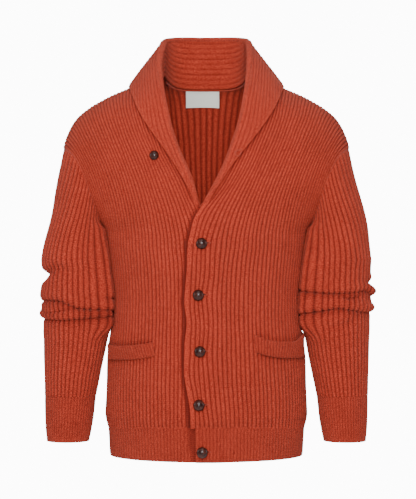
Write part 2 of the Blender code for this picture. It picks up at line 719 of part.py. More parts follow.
def sleeve_grid(side_name):
    """Middle surface of a sleeve at +X, rows from the armhole down, and its outward directions."""
    columns = 2 * SLEEVE_RIBS
    shares = np.arange(columns) / columns
    seam = armhole_ring(columns)
    rings = [resample(sleeve_ring(row[0], side_name), shares) for row in SLEEVE_TABLES[side_name]]
    first = rings[0]
    span = np.linalg.norm(first - seam, axis=1)[:, None]
    around = 2 * math.pi * shares
    outwards, swing, spread = SLEEVE_LEAVING
    leave = np.stack([outwards + swing * np.cos(around), -spread * np.sin(around), -np.ones(columns)], axis=1)
    swing, spread = SLEEVE_ARRIVING
    arrive = np.stack([swing * np.cos(around), -spread * np.sin(around), -np.ones(columns)], axis=1)
    rows = [seam]
    for t in UPPER_SLEEVE_STEPS:
        start = seam * (1 + 2 * t) * (1 - t) ** 2 + leave * span * t * (1 - t) ** 2
        end = first * (3 - 2 * t) * t**2 - arrive * span * t**2 * (1 - t)
        rows.append(start + end)
    grid = np.array([*rows, *rings])[::-1]
    outward = -grid_normals(grid, closed=True)
    outward[0, :, 2] = 0.0
    outward[0] = unit(outward[0])
    outward[-1] = armhole_outward(seam)
    return grid, outward


def build_sleeve(name, side, material, collection):
    """A ribbed tube from the armhole to the cuff."""
    grid, outward = sleeve_grid("left" if side > 0 else "right")
    grid[0, :, 2] += HALF_GAP
    grid[-1] += ARMHOLE_AXIS * ARMHOLE_HALF_GAP
    relief = np.tile(rib_pattern(grid.shape[1], RIB), (len(grid), 1))
    relief[-1] = 0.0
    picks = even_picks(grid.shape[1], 14)
    outer, inner = thicken(grid, outward, relief, picks)
    flip = np.array([side, 1.0, 1.0])
    add_wall(name, outer * flip, inner * flip, picks, True, material, collection)


def build_cuff(name, side, material, collection):
    """The fine-ribbed cuff."""
    perimeter = lengths_along(cuff_ring((CUFF_TOP + CUFF_BOTTOM) / 2))[-1]
    columns = 2 * round(perimeter / FINE_PITCH)
    shares = np.arange(columns) / columns
    grid = np.array([resample(cuff_ring(h), shares) for h in (CUFF_BOTTOM, CUFF_TOP - HALF_GAP)])
    outward = -grid_normals(grid, closed=True)
    outward[:, :, 2] = 0.0
    outward = unit(outward)
    picks = even_picks(columns, 12)
    outer, inner = thicken(grid, outward, rib_pattern(columns, FINE_RIB), picks)
    flip = np.array([side, 1.0, 1.0])
    add_wall(name, outer * flip, inner * flip, picks, True, material, collection)


def build_hem(name, towards, start, end, material, collection):
    """One stretch of the hem welt, between two angles from the front or back's middle."""
    angle = np.linspace(start, end, ROW_SAMPLES)
    share = np.sin(angle)
    heights = (np.full_like(share, HEM_BOTTOM), hem_height(share) - HALF_GAP)
    rows = [hem_ring(share, h, towards) for h in heights]
    if name == "hem_left":
        for row in rows:
            near = 1.0 - smoothstep(row[:, 0], *OVERLAP_REACH)
            row[:, 1] -= OVERLAP_LIFT * near
    if towards == BACKWARDS:
        rows = [row[::-1] for row in rows]
    ribs = round(lengths_along(rows[0])[-1] / FINE_PITCH)
    shares = np.linspace(0.0, 1.0, 2 * ribs + 1)
    grid = np.array([resample(row, shares) for row in rows])
    outward = grid_normals(grid, closed=False)
    outward[:, :, 2] = 0.0
    outward = unit(outward)
    for column in (0, -1):
        if abs(abs(grid[0, column, 0]) - float(HEM["half_width"](HEM_BOTTOM))) < 1e-4:
            outward[:, column] = (math.copysign(1.0, grid[0, column, 0]), 0.0, 0.0)
            grid[:, column, 1] += towards * HALF_GAP
    picks = even_picks(2 * ribs, max(8, round(ribs / 7)))
    outer, inner = thicken(grid, outward, rib_pattern(2 * ribs + 1, FINE_RIB), picks)
    add_wall(name, outer, inner, picks, False, material, collection)


def catmull(points, places):
    """Smooth values at fractional places along a list of rows."""
    padded = np.concatenate([[2 * points[0] - points[1]], points, [2 * points[-1] - points[-2]]])
    i = np.clip(np.floor(places).astype(int), 0, len(points) - 2)
    t = (places - i)[:, None]
    a, b, c, d = (padded[i + k] for k in range(4))
    return 0.5 * (2 * b + (c - a) * t + (2 * a - 5 * b + 4 * c - d) * t**2 + (3 * b - a - 3 * c + d) * t**3)


def front_neck_edge(left):
    """The front's own inner edge from the V up to the neck point, which the collar is sewn to."""
    grid = Front(1 if left else -1).grid()[0]
    rows = slice(1 + len(FRONT_HEIGHTS), None)
    return grid[rows, 0]


def collar_side(left):
    """Roll, seam and free edge of half the collar at +X, from the middle of the back to the V."""
    table = np.array(COLLAR_TABLE)
    columns = {c: i for i, c in enumerate(COLLAR_COLUMNS)}
    places = np.linspace(0.0, len(table) - 1, COLLAR_STATIONS + 1)
    values = catmull(table, places)
    lean = -1.0 if left else 1.0
    roll = values[:, [columns["roll_x"], columns["roll_y"], columns["roll_z"]]]
    roll[:, 0] += lean * values[:, columns["roll_lean"]]
    edge_x = values[:, columns["edge_x"]] + lean * values[:, columns["edge_lean"]]
    edge_z = values[:, columns["edge_z"]]
    seam_x = values[:, columns["seam_x"]]
    seam_z = values[:, columns["seam_z"]]
    behind = places <= COLLAR_LAST_BACK_STATION
    sewn = front_neck_edge(left)
    back_z = back_top_height(np.minimum(seam_x, NECK_HALF))
    back_seam = on_body(np.minimum(seam_x, NECK_HALF), back_z, BACKWARDS)
    front_seam = np.stack([np.interp(seam_z, sewn[:, 2], sewn[:, i]) for i in range(3)], axis=1)
    seam = np.where(behind[:, None], back_seam, front_seam)
    front = Front(1 if left else -1)
    roll[:, 1] -= front.lift(roll[:, 0], roll[:, 2])
    back_edge = on_body(edge_x, edge_z, BACKWARDS, COLLAR_BACK_REST)
    front_edge = on_body(edge_x, edge_z, FORWARDS, COLLAR_REST)
    front_edge[:, 1] -= front.lift(edge_x, edge_z)
    edge = np.where(behind[:, None], back_edge, front_edge)
    return roll, seam, edge


def collar_stations():
    """Roll, seam and free edge all round the collar, from the wearer's left V to the right V."""
    left = [part[::-1] for part in collar_side(True)]
    right = [part * (-1.0, 1.0, 1.0) for part in collar_side(False)]
    stations = []
    for a, b in zip(left, right):
        middle = (a[-1:] + b[:1]) / 2
        stations.append(np.concatenate([a[:-1], middle, b[1:]]))
    return stations


def collar_section(roll, seam, edge, along):
    """One section of the collar: its plain face from seam to free edge, and its public directions."""
    rise = roll - seam
    rise = rise - along * (rise @ along)
    spare = np.linalg.norm(rise) - WALL - RIB - COLLAR_FOOT_GAP - COLLAR_LEAST_STAND
    radius = float(np.clip(spare, COLLAR_LEAST_FOLD, COLLAR_FOLD))
    rise = unit(rise)
    out = unit(np.cross(along, rise))
    centre = roll - rise * (radius + WALL + RIB) + out * radius
    stand_top = centre - out * radius
    fall_top = centre + out * radius
    foot = seam + rise * COLLAR_FOOT_GAP
    turns = np.linspace(0.0, math.pi, FOLD_SAMPLES)
    fold = [centre - out * radius * math.cos(a) + rise * radius * math.sin(a) for a in turns]
    fold_out = [-out * math.cos(a) + rise * math.sin(a) for a in turns]
    fall_line = edge - fall_top
    fall_out = unit(np.cross(unit(fall_line), along))
    stand_out = unit(np.cross(unit(stand_top - foot), along))
    return foot, stand_top, fold, fold_out, fall_top, edge, stand_out, fall_out


def collar_row(section, counts):
    """Points and public directions along one section, with so many steps on stand, fold and fall."""
    foot, stand_top, fold, fold_out, fall_top, edge, stand_out, fall_out = section
    points = []
    directions = []
    for i in range(counts[0]):
        t = i / counts[0]
        points.append(foot + (stand_top - foot) * t)
        directions.append(stand_out)
    for i in range(counts[1]):
        place = (len(fold) - 1) * i / counts[1]
        k = min(int(place), len(fold) - 2)
        points.append(fold[k] + (fold[k + 1] - fold[k]) * (place - k))
        directions.append(unit(fold_out[k] + (fold_out[k + 1] - fold_out[k]) * (place - k)))
    for i in range(counts[2] + 1):
        t = i / counts[2]
        points.append(fall_top + (edge - fall_top) * t)
        directions.append(fall_out)
    return np.array(points), np.array(directions)


def build_collar(name, material, collection):
    """The folded band, ribbed along its length on its public face."""
    roll, seam, edge = collar_stations()
    along = unit(np.gradient(roll, axis=0))
    sections = [collar_section(*station) for station in zip(roll, seam, edge, along)]
    rib_steps = (2 * COLLAR_STAND_RIBS, 2 * COLLAR_FOLD_RIBS, 2 * COLLAR_FALL_RIBS)
    public = []
    plain = []
    for section in sections:
        points, directions = collar_row(section, rib_steps)
        relief = rib_pattern(len(points), RIB)[:, None]
        public.append(points + directions * (WALL + relief))
        points, directions = collar_row(section, COLLAR_PLAIN_STEPS)
        plain.append(points)
    outer = np.array(public)
    inner = np.array(plain)
    picks = []
    start = 0
    for fine, coarse in zip(rib_steps, COLLAR_PLAIN_STEPS):
        picks += [start + round(fine * i / coarse) for i in range(coarse)]
        start += fine
    picks.append(start)
    add_wall(name, outer, inner, picks, False, material, collection)


def build_welt(name, front, material, collection):
    """A pocket's fine-ribbed welt, standing off the front and gaping a little at its mouth."""
    start, end = front.welt_span
    x = start + (end - start) * np.sin(np.linspace(0.0, math.pi / 2, ROW_SAMPLES))
    rows = []
    mouth = WELT_STAND_OFF + WELT_GAPE
    for guide, stand_off in ((front.welt_bottom, WELT_STAND_OFF), (front.welt_top, mouth)):
        z = guide(x)
        near = np.minimum(x, BODY["half_width"](z) * WELT_LEAST_TURN)
        rows.append(on_body(near, z, FORWARDS, stand_off))
    ribs = round(lengths_along(rows[0])[-1] / FINE_PITCH)
    shares = np.linspace(0.0, 1.0, 2 * ribs + 1)
    grid = np.array([resample(row, shares) for row in rows])
    outward = unit(grid_normals(grid, closed=False) * (1.0, 1.0, 0.0))
    picks = even_picks(2 * ribs, WELT_STEPS)
    outer, inner = thicken(grid, outward, rib_pattern(2 * ribs + 1, FINE_RIB), picks)
    flip = np.array([front.side, 1.0, 1.0])
    add_wall(name, outer * flip, inner * flip, picks, False, material, collection)


def build_bag(name, front, material, collection):
    """The pocket's inner layer: a shallow dish behind the slit, thickened by a Solidify modifier."""
    columns, rows = BAG_STEPS
    sheet = bmesh.new()
    bmesh.ops.create_grid(sheet, x_segments=columns, y_segments=rows, size=0.5)
    for vert in sheet.verts:
        s = vert.co.x + 0.5
        t = vert.co.y + 0.5
        x = BAG_SPAN[0] + (BAG_SPAN[1] - BAG_SPAN[0]) * s
        top = float(front.welt_top(x))
        z = top - BAG_DROP * (1 - t)
        hollow = math.sin(math.pi * s) ** BAG_FULLNESS[0] * math.sin(math.pi * t) ** BAG_FULLNESS[1]
        depth = WALL + SEAM_GAP + BAG_CLEARANCE + BAG_DEPTH * hollow
        place = on_body(np.array(x), np.array(z), FORWARDS, -depth)
        vert.co = place * (front.side, 1.0, 1.0)
    bmesh.ops.recalc_face_normals(sheet, faces=sheet.faces)
    mesh = bpy.data.meshes.new(name)
    sheet.to_mesh(mesh)
    sheet.free()
    obj = finish_object(name, mesh, material, collection)
    solid = obj.modifiers.new("thickness", "SOLIDIFY")
    solid.thickness = BAG_WALL
    solid.offset = 0.0
    return obj


def build_label(name, back, material, collection):
    """The bare label on the inside of the back neck, thickened by a Solidify modifier."""
    sheet = bmesh.new()
    bmesh.ops.create_grid(sheet, x_segments=LABEL_STEPS[0], y_segments=LABEL_STEPS[1], size=0.5)
    for vert in sheet.verts:
        x = LABEL_CENTRE[0] + LABEL_SIZE[0] * vert.co.x
        z = LABEL_CENTRE[1] + LABEL_SIZE[1] * vert.co.y
        hit, place, normal, face = back.ray_cast(Vector((x, 0.0, z)), Vector((0.0, 1.0, 0.0)))
        vert.co = place + normal * LABEL_STAND_OFF
    mesh = bpy.data.meshes.new(name)
    sheet.to_mesh(mesh)
    sheet.free()
    obj = finish_object(name, mesh, material, collection)
    solid = obj.modifiers.new("thickness", "SOLIDIFY")
    solid.thickness = LABEL_THICKNESS
    solid.offset = 0.0
    return obj


def build_button(name, x, z, diameter, fronts, material, collection):
    """A domed button, turned by a Screw modifier and set square on the cloth."""
    front = fronts[0] if name != "button_chest" else fronts[1]
    place_x = np.array(abs(x) if name == "button_chest" else x)
    place_z = np.array(z)
    if z < HEM_TOP_FRONT:
        share = x / float(HEM["half_width"](z))
        base = hem_ring(np.array(share), place_z, FORWARDS)
        base[1] -= OVERLAP_LIFT
        normal = np.array([0.0, -1.0, 0.0])
    else:
        base = front.point(place_x, place_z)
        normal = body_normal(place_x, place_z, FORWARDS)
    base = (base + normal * (RIB + 2 * SEAM_GAP)) * (front.side, 1.0, 1.0)
    normal = normal * (front.side, 1.0, 1.0)
    profile = bmesh.new()
    last = None
    for radius_share, height_share in BUTTON_PROFILE:
        vert = profile.verts.new((radius_share * diameter / 2, 0.0, height_share * diameter))
        if last is not None:
            profile.edges.new((last, vert))
        last = vert
    mesh = bpy.data.meshes.new(name)
    profile.to_mesh(mesh)
    profile.free()
    obj = finish_object(name, mesh, material, collection)
    turn = obj.modifiers.new("turn", "SCREW")
    turn.angle = 2 * math.pi
    turn.steps = BUTTON_SIDES
    turn.render_steps = BUTTON_SIDES
    turn.use_merge_vertices = True
    turn.merge_threshold = 0.0001
    turn.use_normal_calculate = True
    obj.location = base
    tilt = math.acos(float(np.clip(normal[2], -1.0, 1.0)))
    heading = math.atan2(float(normal[1]), float(normal[0]))
    obj.rotation_euler = (0.0, tilt, heading)
    return obj


def main():
    """Builds every piece of the cardigan."""
    for obj in list(bpy.data.objects):
        bpy.data.objects.remove(obj)
    collection = bpy.data.collections.new(COLLECTION)
    bpy.context.scene.collection.children.link(collection)
    wool = new_material("wool_rib", WOOL, 0.92)
    welt_wool = new_material("wool_fine_rib", WELT_WOOL, 0.92)
    leather = new_material("button_leather", LEATHER, 0.3)
    label_cloth = new_material("label_cloth", LABEL_CLOTH, 0.7)

    back = build_back("back", wool, collection)

    fronts = (Front(1), Front(-1))
    for front, side_name in zip(fronts, ("left", "right")):
        front.build(f"front_{side_name}", wool, collection)
        build_sleeve(f"sleeve_{side_name}", front.side, wool, collection)
        build_cuff(f"cuff_{side_name}", front.side, welt_wool, collection)
        build_welt(f"pocket_welt_{side_name}", front, welt_wool, collection)
        build_bag(f"pocket_bag_{side_name}", front, wool, collection)
    build_collar("collar", wool, collection)

    top_width = float(HEM["half_width"](HEM_BOTTOM))
    top_start = math.asin(float(FRONT_EDGE["top_front"](HEM_BOTTOM)) / top_width)
    under_start = math.asin(float(FRONT_EDGE["under_front"](HEM_BOTTOM)) / top_width)
    side = math.pi / 2
    build_hem("hem_back", BACKWARDS, -side, side, welt_wool, collection)
    build_hem("hem_left", FORWARDS, top_start, side, welt_wool, collection)
    build_hem("hem_right", FORWARDS, -side, -under_start, welt_wool, collection)

    for name, x, z, diameter in BUTTON_TABLE:
        build_button(name, x, z, diameter, fronts, leather, collection)
    build_label("neck_label", back, label_cloth, collection)


main()
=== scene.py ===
"""Shawl collar cardigan: the knitted cloth, its buttons and label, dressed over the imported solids.

Metres, +Z up, the front towards -Y and the wearer's left towards +X.
"""

import logging
import math
from dataclasses import dataclass, field
from enum import Enum
from typing import Any, ClassVar, Optional, Sequence

import bmesh
import bpy
import numpy as np
from mathutils import Matrix, Vector

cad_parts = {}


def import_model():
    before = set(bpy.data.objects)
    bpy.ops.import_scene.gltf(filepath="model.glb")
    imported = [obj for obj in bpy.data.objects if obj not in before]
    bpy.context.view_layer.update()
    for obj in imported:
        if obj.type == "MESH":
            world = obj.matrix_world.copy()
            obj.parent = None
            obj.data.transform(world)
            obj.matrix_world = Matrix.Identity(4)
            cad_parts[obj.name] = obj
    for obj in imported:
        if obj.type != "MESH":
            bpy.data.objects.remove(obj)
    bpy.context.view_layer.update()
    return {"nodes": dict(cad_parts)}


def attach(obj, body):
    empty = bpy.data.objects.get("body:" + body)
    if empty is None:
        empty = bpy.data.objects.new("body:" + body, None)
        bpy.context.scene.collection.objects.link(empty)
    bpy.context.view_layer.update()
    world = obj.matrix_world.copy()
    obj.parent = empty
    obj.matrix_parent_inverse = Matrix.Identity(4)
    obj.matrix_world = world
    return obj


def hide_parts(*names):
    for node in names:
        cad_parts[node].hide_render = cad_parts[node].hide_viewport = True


LOG = logging.getLogger("cardigan")
Array = np.ndarray
Columns = tuple[str, ...]
Table = tuple[tuple[float, ...], ...]
Pair = tuple[float, float]
Triple = tuple[float, float, float]
Colour = Triple
Mesh = bpy.types.Mesh
Material = bpy.types.Material
Object = bpy.types.Object
KNIT_UV = "knit"
# name of the mesh attribute that carries painted shade: in the rib valleys, and the shadows under folds,
# edges and welts
PAINTED_SHADE_ATTRIBUTE = "valley"


class Facing(Enum):
    """Which way a stretch of the body faces, as the sign of its Y."""

    FRONT = -1
    BACK = 1


class Side(Enum):
    """The wearer's side a piece belongs to, as the sign of its X."""

    LEFT = 1
    RIGHT = -1

    @property
    def word(self) -> str:
        """The side's name inside a node's name."""
        return self.name.lower()

    @property
    def flip(self) -> Array:
        """Factors that put a shape made at +X on this side."""
        return np.array([float(self.value), 1.0, 1.0])


class Slot(Enum):
    """Material slots of the record."""

    WOOL = "wool_rib"
    WELT = "wool_fine_rib"
    LEATHER = "button_leather"
    LABEL = "label_cloth"


# --- sums used by every piece


class Track:
    """A smooth curve through a table's values that never swings past them."""

    def __init__(self, places: Sequence[float], values: Sequence[float]) -> None:
        """Works out the slopes.

        Args:
            places: where the values stand, in any order.
            values: the curve's value at each place.
        """
        order = np.argsort(places)
        self.x = np.asarray(places, float)[order]
        self.y = np.asarray(values, float)[order]
        self.step = np.diff(self.x)
        slope = np.diff(self.y) / self.step
        turning = slope[:-1] * slope[1:] > 0
        safe = np.where(turning[:, None], np.stack([slope[:-1], slope[1:]], axis=1), 1.0)
        mean = 2.0 / (1.0 / safe[:, 0] + 1.0 / safe[:, 1])
        self.tangent = np.zeros_like(self.y)
        self.tangent[1:-1] = np.where(turning, mean, 0.0)
        self.tangent[0] = slope[0]
        self.tangent[-1] = slope[-1]

    def __call__(self, value: Any) -> Array:
        """The curve's value, held at its ends past them.

        Args:
            value: the places asked for.

        Returns:
            The values there.
        """
        value = np.clip(np.asarray(value, float), self.x[0], self.x[-1])
        i = np.clip(np.searchsorted(self.x, value, side="right") - 1, 0, len(self.step) - 1)
        t = (value - self.x[i]) / self.step[i]
        start = self.y[i] * (1 + 2 * t) * (1 - t) ** 2 + self.tangent[i] * self.step[i] * t * (1 - t) ** 2
        end = self.y[i + 1] * (3 - 2 * t) * t**2 - self.tangent[i + 1] * self.step[i] * t**2 * (1 - t)
        return start + end


def tracks(columns: Sequence[str], table: Sequence[Sequence[float]]) -> dict[str, Track]:
    """One curve of the table's first column for each of its other columns."""
    data = list(zip(*table))
    return {name: Track(data[0], data[i]) for i, name in enumerate(columns) if i}


def smoothstep(value: Any, start: float, end: float) -> Array:
    """0 before start, 1 after end, and smooth between."""
    t = np.clip((np.asarray(value, float) - start) / (end - start), 0.0, 1.0)
    return t * t * (3 - 2 * t)


def unit(vectors: Array) -> Array:
    """The vectors with length 1."""
    return vectors / np.maximum(np.linalg.norm(vectors, axis=-1, keepdims=True), 1e-12)


def run_along(points: Array) -> Array:
    """Distance run along a row of points, from 0."""
    steps = np.linalg.norm(np.diff(points, axis=0), axis=1)
    return np.concatenate([[0.0], np.cumsum(steps)])


def resample(points: Array, shares: Array) -> Array:
    """Points at these shares of a row's length.

    Args:
        points: a row of points.
        shares: shares of the row's length.

    Returns:
        The points.
    """
    run = run_along(points)
    wanted = np.asarray(shares) * run[-1]
    return np.stack([np.interp(wanted, run, points[:, i]) for i in range(3)], axis=1)


def grid_normals(grid: Array, closed: bool) -> Array:
    """Directions square to a grid, to the left of its rows as they run.

    Args:
        grid: points by row and column.
        closed: whether the last column meets the first.

    Returns:
        One unit direction for each point.
    """
    if closed:
        across = np.roll(grid, -1, axis=1) - np.roll(grid, 1, axis=1)
    else:
        across = np.gradient(grid, axis=1)
    return unit(np.cross(across, np.gradient(grid, axis=0)))


def catmull(points: Array, places: Array) -> Array:
    """Smooth values at fractional places along a list of rows.

    Args:
        points: the rows.
        places: fractional row numbers.

    Returns:
        One row of values for each place.
    """
    padded = np.concatenate([[2 * points[0] - points[1]], points, [2 * points[-1] - points[-2]]])
    i = np.clip(np.floor(places).astype(int), 0, len(points) - 2)
    t = (places - i)[:, None]
    a, b, c, d = (padded[i + k] for k in range(4))
    return 0.5 * (2 * b + (c - a) * t + (2 * a - 5 * b + 4 * c - d) * t**2 + (3 * b - a - 3 * c + d) * t**3)


# --- finishes


class Socket:
    """A shader socket that takes part in Python sums."""

    def __init__(self, web: "Web", socket: Any) -> None:
        """Keeps the node tree and the socket."""
        self.web = web
        self.socket = socket

    def _math(self, operation: str, *others: Any) -> "Socket":
        """A Math node on this socket and the others."""
        inputs = {0: self, **dict(enumerate(others, 1))}
        return self.web.node("ShaderNodeMath", {"operation": operation}, inputs)

    def __add__(self, other: Any) -> "Socket":
        """Sum."""
        return self._math("ADD", other)

    __radd__ = __add__

    def __mul__(self, other: Any) -> "Socket":
        """Product."""
        return self._math("MULTIPLY", other)

    __rmul__ = __mul__

    def __sub__(self, other: Any) -> "Socket":
        """Difference."""
        return self._math("SUBTRACT", other)

    def __rsub__(self, other: Any) -> "Socket":
        """Difference from a number."""
        return self.web.node("ShaderNodeMath", {"operation": "SUBTRACT"}, {0: other, 1: self})

    def fraction(self) -> "Socket":
        """Part after the decimal point."""
        return self._math("FRACT")

    def cosine(self) -> "Socket":
        """Cosine."""
        return self._math("COSINE")

    def size(self) -> "Socket":
        """Absolute value."""
        return self._math("ABSOLUTE")

    def clamped(self) -> "Socket":
        """Held between 0 and 1."""
        return self.web.node("ShaderNodeClamp", {}, {0: self})


class Web:
    """The node tree of one material."""

    def __init__(self, name: str) -> None:
        """Makes the material with a bare Principled shader.

        Args:
            name: the material's name.
        """
        self.material = bpy.data.materials.new(name)
        self.material.use_nodes = True
        self.tree = self.material.node_tree
        self.shader = self.tree.nodes["Principled BSDF"]

    def node(self, kind: str, settings: dict[str, Any], inputs: dict[Any, Any], output: Any = 0) -> Socket:
        """Adds one node.

        Args:
            kind: the node's type.
            settings: its own settings, set first.
            inputs: values or sockets by input name or number.
            output: the output wanted.

        Returns:
            The wanted output.
        """
        made = self.tree.nodes.new(kind)
        for key, value in settings.items():
            setattr(made, key, value)
        for key, value in inputs.items():
            self.feed(made.inputs[key], value)
        return Socket(self, made.outputs[output])

    def feed(self, target: Any, value: Any) -> None:
        """Sets or links one input socket.

        Args:
            target: the input.
            value: a value or a socket.
        """
        if isinstance(value, Socket):
            self.tree.links.new(value.socket, target)
        else:
            target.default_value = value

    def set(self, **inputs: Any) -> None:
        """Feeds the shader's inputs, named with underscores for spaces."""
        for key, value in inputs.items():
            self.feed(self.shader.inputs[key.replace("_", " ")], value)

    def place(self) -> Socket:
        """Object coordinates."""
        return self.node("ShaderNodeTexCoord", {}, {}, "Object")

    def knit_map(self) -> list[Socket]:
        """Ribs across and metres along, from the piece's own map."""
        knit = self.node("ShaderNodeUVMap", {"uv_map": KNIT_UV}, {}, "UV")
        return [self.node("ShaderNodeSeparateXYZ", {}, {0: knit}, axis) for axis in "XY"]

    def noise(self, vector: Socket, scale: float, detail: float = 2.0, roughness: float = 0.5) -> Socket:
        """Plain noise from 0 to 1."""
        inputs = {"Vector": vector, "Scale": scale, "Detail": detail, "Roughness": roughness}
        return self.node("ShaderNodeTexNoise", {}, inputs)

    def mix(self, share: Any, first: Any, second: Any, blend: str = "MIX") -> Socket:
        """Two colours mixed."""
        settings = {"data_type": "RGBA", "blend_type": blend}
        return self.node("ShaderNodeMix", settings, {0: share, 6: first, 7: second}, output=2)

    def ramp(self, value: Socket, low: float, high: float) -> Socket:
        """The value stretched from low..high to 0..1 and held there."""
        return self.node("ShaderNodeMapRange", {}, {0: value, 1: low, 2: high, 3: 0.0, 4: 1.0})

    def bump(self, height: Socket, strength: float, distance: float) -> Socket:
        """A surface roughened by a height."""
        return self.node("ShaderNodeBump", {}, {"Strength": strength, "Distance": distance, "Height": height})


def rgba(colour: Colour) -> tuple[float, float, float, float]:
    """The colour with full alpha."""
    return (*colour, 1.0)


@dataclass(frozen=True)
class WoolKnit:
    """Napped wool knit whose wales follow the piece's own knit map, darkened where the mesh carries painted
    shade.
    """

    name: str
    yarn: Colour
    fleck: Colour
    # shade: the colour of the painted shade, also the dark end of the random fuzz
    shade: Colour
    course: float = 0.0034
    # valley: how dark the painted shade in the rib valleys gets
    valley: float = 0.92
    stitch: float = 0.55

    def build(self) -> Material:
        """Makes the material.

        Returns:
            The material.
        """
        web = Web(self.name)
        place = web.place()
        across, along = web.knit_map()
        # painted shade carried by the mesh: rib valleys and shadows under folds, edges and welts
        valley = web.node("ShaderNodeAttribute", {"attribute_name": PAINTED_SHADE_ATTRIBUTE}, {}, "Fac")
        loose = web.noise(place, 260.0, 2.0) - 0.5
        fuzz = web.noise(place, 1300.0, 3.0, 0.7)
        flecks = web.noise(place, 620.0, 3.0, 0.62)
        patches = web.noise(place, 22.0, 3.0, 0.55)
        wale = (across.fraction() - 0.5).size()
        phase = (along + loose * 0.0016) * (1.0 / self.course) + wale * 1.1
        stitches = (phase * (2 * math.pi)).cosine() * 0.5 + 0.5
        low = tuple(c * 0.56 for c in self.yarn)
        yarn = web.mix(web.ramp(flecks, 0.39, 0.61), rgba(low), rgba(self.fleck))
        yarn = web.mix(web.ramp(fuzz, 0.34, 0.66) * 0.40, yarn, rgba(self.shade))
        # painted shade: the yarn goes towards the shade colour in the valleys, and more between the stitches
        painted_shade_mix = (valley * (self.valley - 0.30 * stitches) + (1.0 - stitches) * 0.20).clamped()
        yarn = web.mix(painted_shade_mix, yarn, rgba(self.shade))
        tone = web.ramp(patches, 0.25, 0.75) * 0.14 + 0.91
        grey = web.node("ShaderNodeCombineColor", {}, {0: tone, 1: tone, 2: tone})
        colour = web.mix(1.0, yarn, grey, "MULTIPLY")
        height = stitches * self.stitch + fuzz * 0.7 + flecks * 1.1
        web.set(
            Base_Color=colour,
            Roughness=0.94,
            Specular_IOR_Level=0.12,
            Sheen_Weight=0.16,
            Sheen_Roughness=0.55,
            Sheen_Tint=rgba((1.0, 0.45, 0.34)),
            Normal=web.bump(height, 0.85, 0.0011),
        )
        return web.material


@dataclass(frozen=True)
class PlainWool:
    """Wool cloth for a piece with no knit map of its own."""

    name: str
    yarn: Colour
    shade: Colour

    def build(self) -> Material:
        """Makes the material.

        Returns:
            The material.
        """
        web = Web(self.name)
        place = web.place()
        fuzz = web.noise(place, 900.0, 3.0, 0.7)
        colour = web.mix(web.ramp(fuzz, 0.3, 0.7), rgba(self.yarn), rgba(self.shade))
        web.set(Base_Color=colour, Roughness=0.95, Specular_IOR_Level=0.12, Sheen_Weight=0.2)
        web.set(Normal=web.bump(fuzz, 0.6, 0.0006))
        return web.material


@dataclass(frozen=True)
class ButtonLeather:
    """Polished dark leather, worn lighter in random patches."""

    name: str = "button_leather"
    dark: Colour = (0.022, 0.0050, 0.0036)
    worn: Colour = (0.082, 0.020, 0.012)

    def build(self) -> Material:
        """Makes the material.

        Returns:
            The material.
        """
        web = Web(self.name)
        place = web.place()
        blotch = web.noise(place, 140.0, 3.0, 0.6)
        grain = web.node("ShaderNodeTexVoronoi", {}, {"Vector": place, "Scale": 900.0}, "Distance")
        colour = web.mix(web.ramp(blotch, 0.42, 0.70), rgba(self.dark), rgba(self.worn))
        rough = web.ramp(blotch, 0.3, 0.8) * 0.10 + 0.16
        height = grain * 0.6 + blotch * 0.5
        web.set(Base_Color=colour, Roughness=rough, Specular_IOR_Level=0.36)
        web.set(Normal=web.bump(height, 0.35, 0.0005))
        return web.material


@dataclass(frozen=True)
class LabelWeave:
    """Cream woven tape with a fine weave and a soft stitched border."""

    name: str = "label_cloth"
    face: Colour = (0.86, 0.88, 0.80)
    thread: Colour = (0.50, 0.50, 0.42)
    threads: float = 90.0

    def build(self) -> Material:
        """Makes the material.

        Returns:
            The material.
        """
        web = Web(self.name)
        across, along = web.knit_map()
        warp = (across * (2 * math.pi * self.threads)).cosine()
        weft = (along * (math.pi * self.threads)).cosine()
        weave = warp * weft * 0.5 + 0.5
        edge_x = (across - 0.5).size()
        edge_y = (along - 0.5).size()
        line_x = 1.0 - web.ramp((edge_x - 0.472).size(), 0.003, 0.010)
        line_y = 1.0 - web.ramp((edge_y - 0.44).size(), 0.008, 0.022)
        dashes = web.ramp(((across + along * 0.5) * (2 * math.pi * 24)).cosine(), -0.2, 0.2)
        border = ((line_x + line_y) * dashes).clamped()
        colour = web.mix(weave * 0.25, rgba(self.face), rgba(self.thread))
        colour = web.mix(border * 0.5, colour, rgba(self.thread))
        web.set(Base_Color=colour, Roughness=0.7, Sheen_Weight=0.1)
        web.set(Normal=web.bump(weave, 0.3, 0.0002))
        return web.material


class Finishes:
    """Every finish of the cardigan, made once."""

    def __init__(self) -> None:
        """Makes the materials."""
        # shade is the colour of the painted shade, and valley sets how dark it gets in the rib valleys
        self.rib = WoolKnit(
            "wool_rib", yarn=(0.560, 0.040, 0.019), fleck=(0.740, 0.082, 0.041), shade=(0.125, 0.008, 0.005)
        ).build()
        self.welt = WoolKnit(
            "wool_fine_rib",
            yarn=(0.480, 0.036, 0.018),
            fleck=(0.640, 0.072, 0.036),
            shade=(0.135, 0.009, 0.006),
            valley=0.62,
        ).build()
        self.plain = PlainWool("wool_lining", (0.40, 0.046, 0.024), (0.22, 0.022, 0.013)).build()
        self.thread = PlainWool("wool_thread", (0.46, 0.055, 0.028), (0.26, 0.026, 0.014)).build()
        # a near-black thread that stands for the painted shadow inside the buttonhole slits
        self.shadow_thread = PlainWool("slit_shadow_thread", (0.040, 0.007, 0.005), (0.020, 0.004, 0.003)).build()
        self.leather = ButtonLeather().build()
        self.label = LabelWeave().build()


# --- cloth


def rib_profile(ribs: Array) -> Array:
    """A rib's height from -1 in the valleys to 1 on round crests, for a rib coordinate."""
    return -1.0 + 2.0 * np.abs(np.sin(np.pi * ribs)) ** 0.42


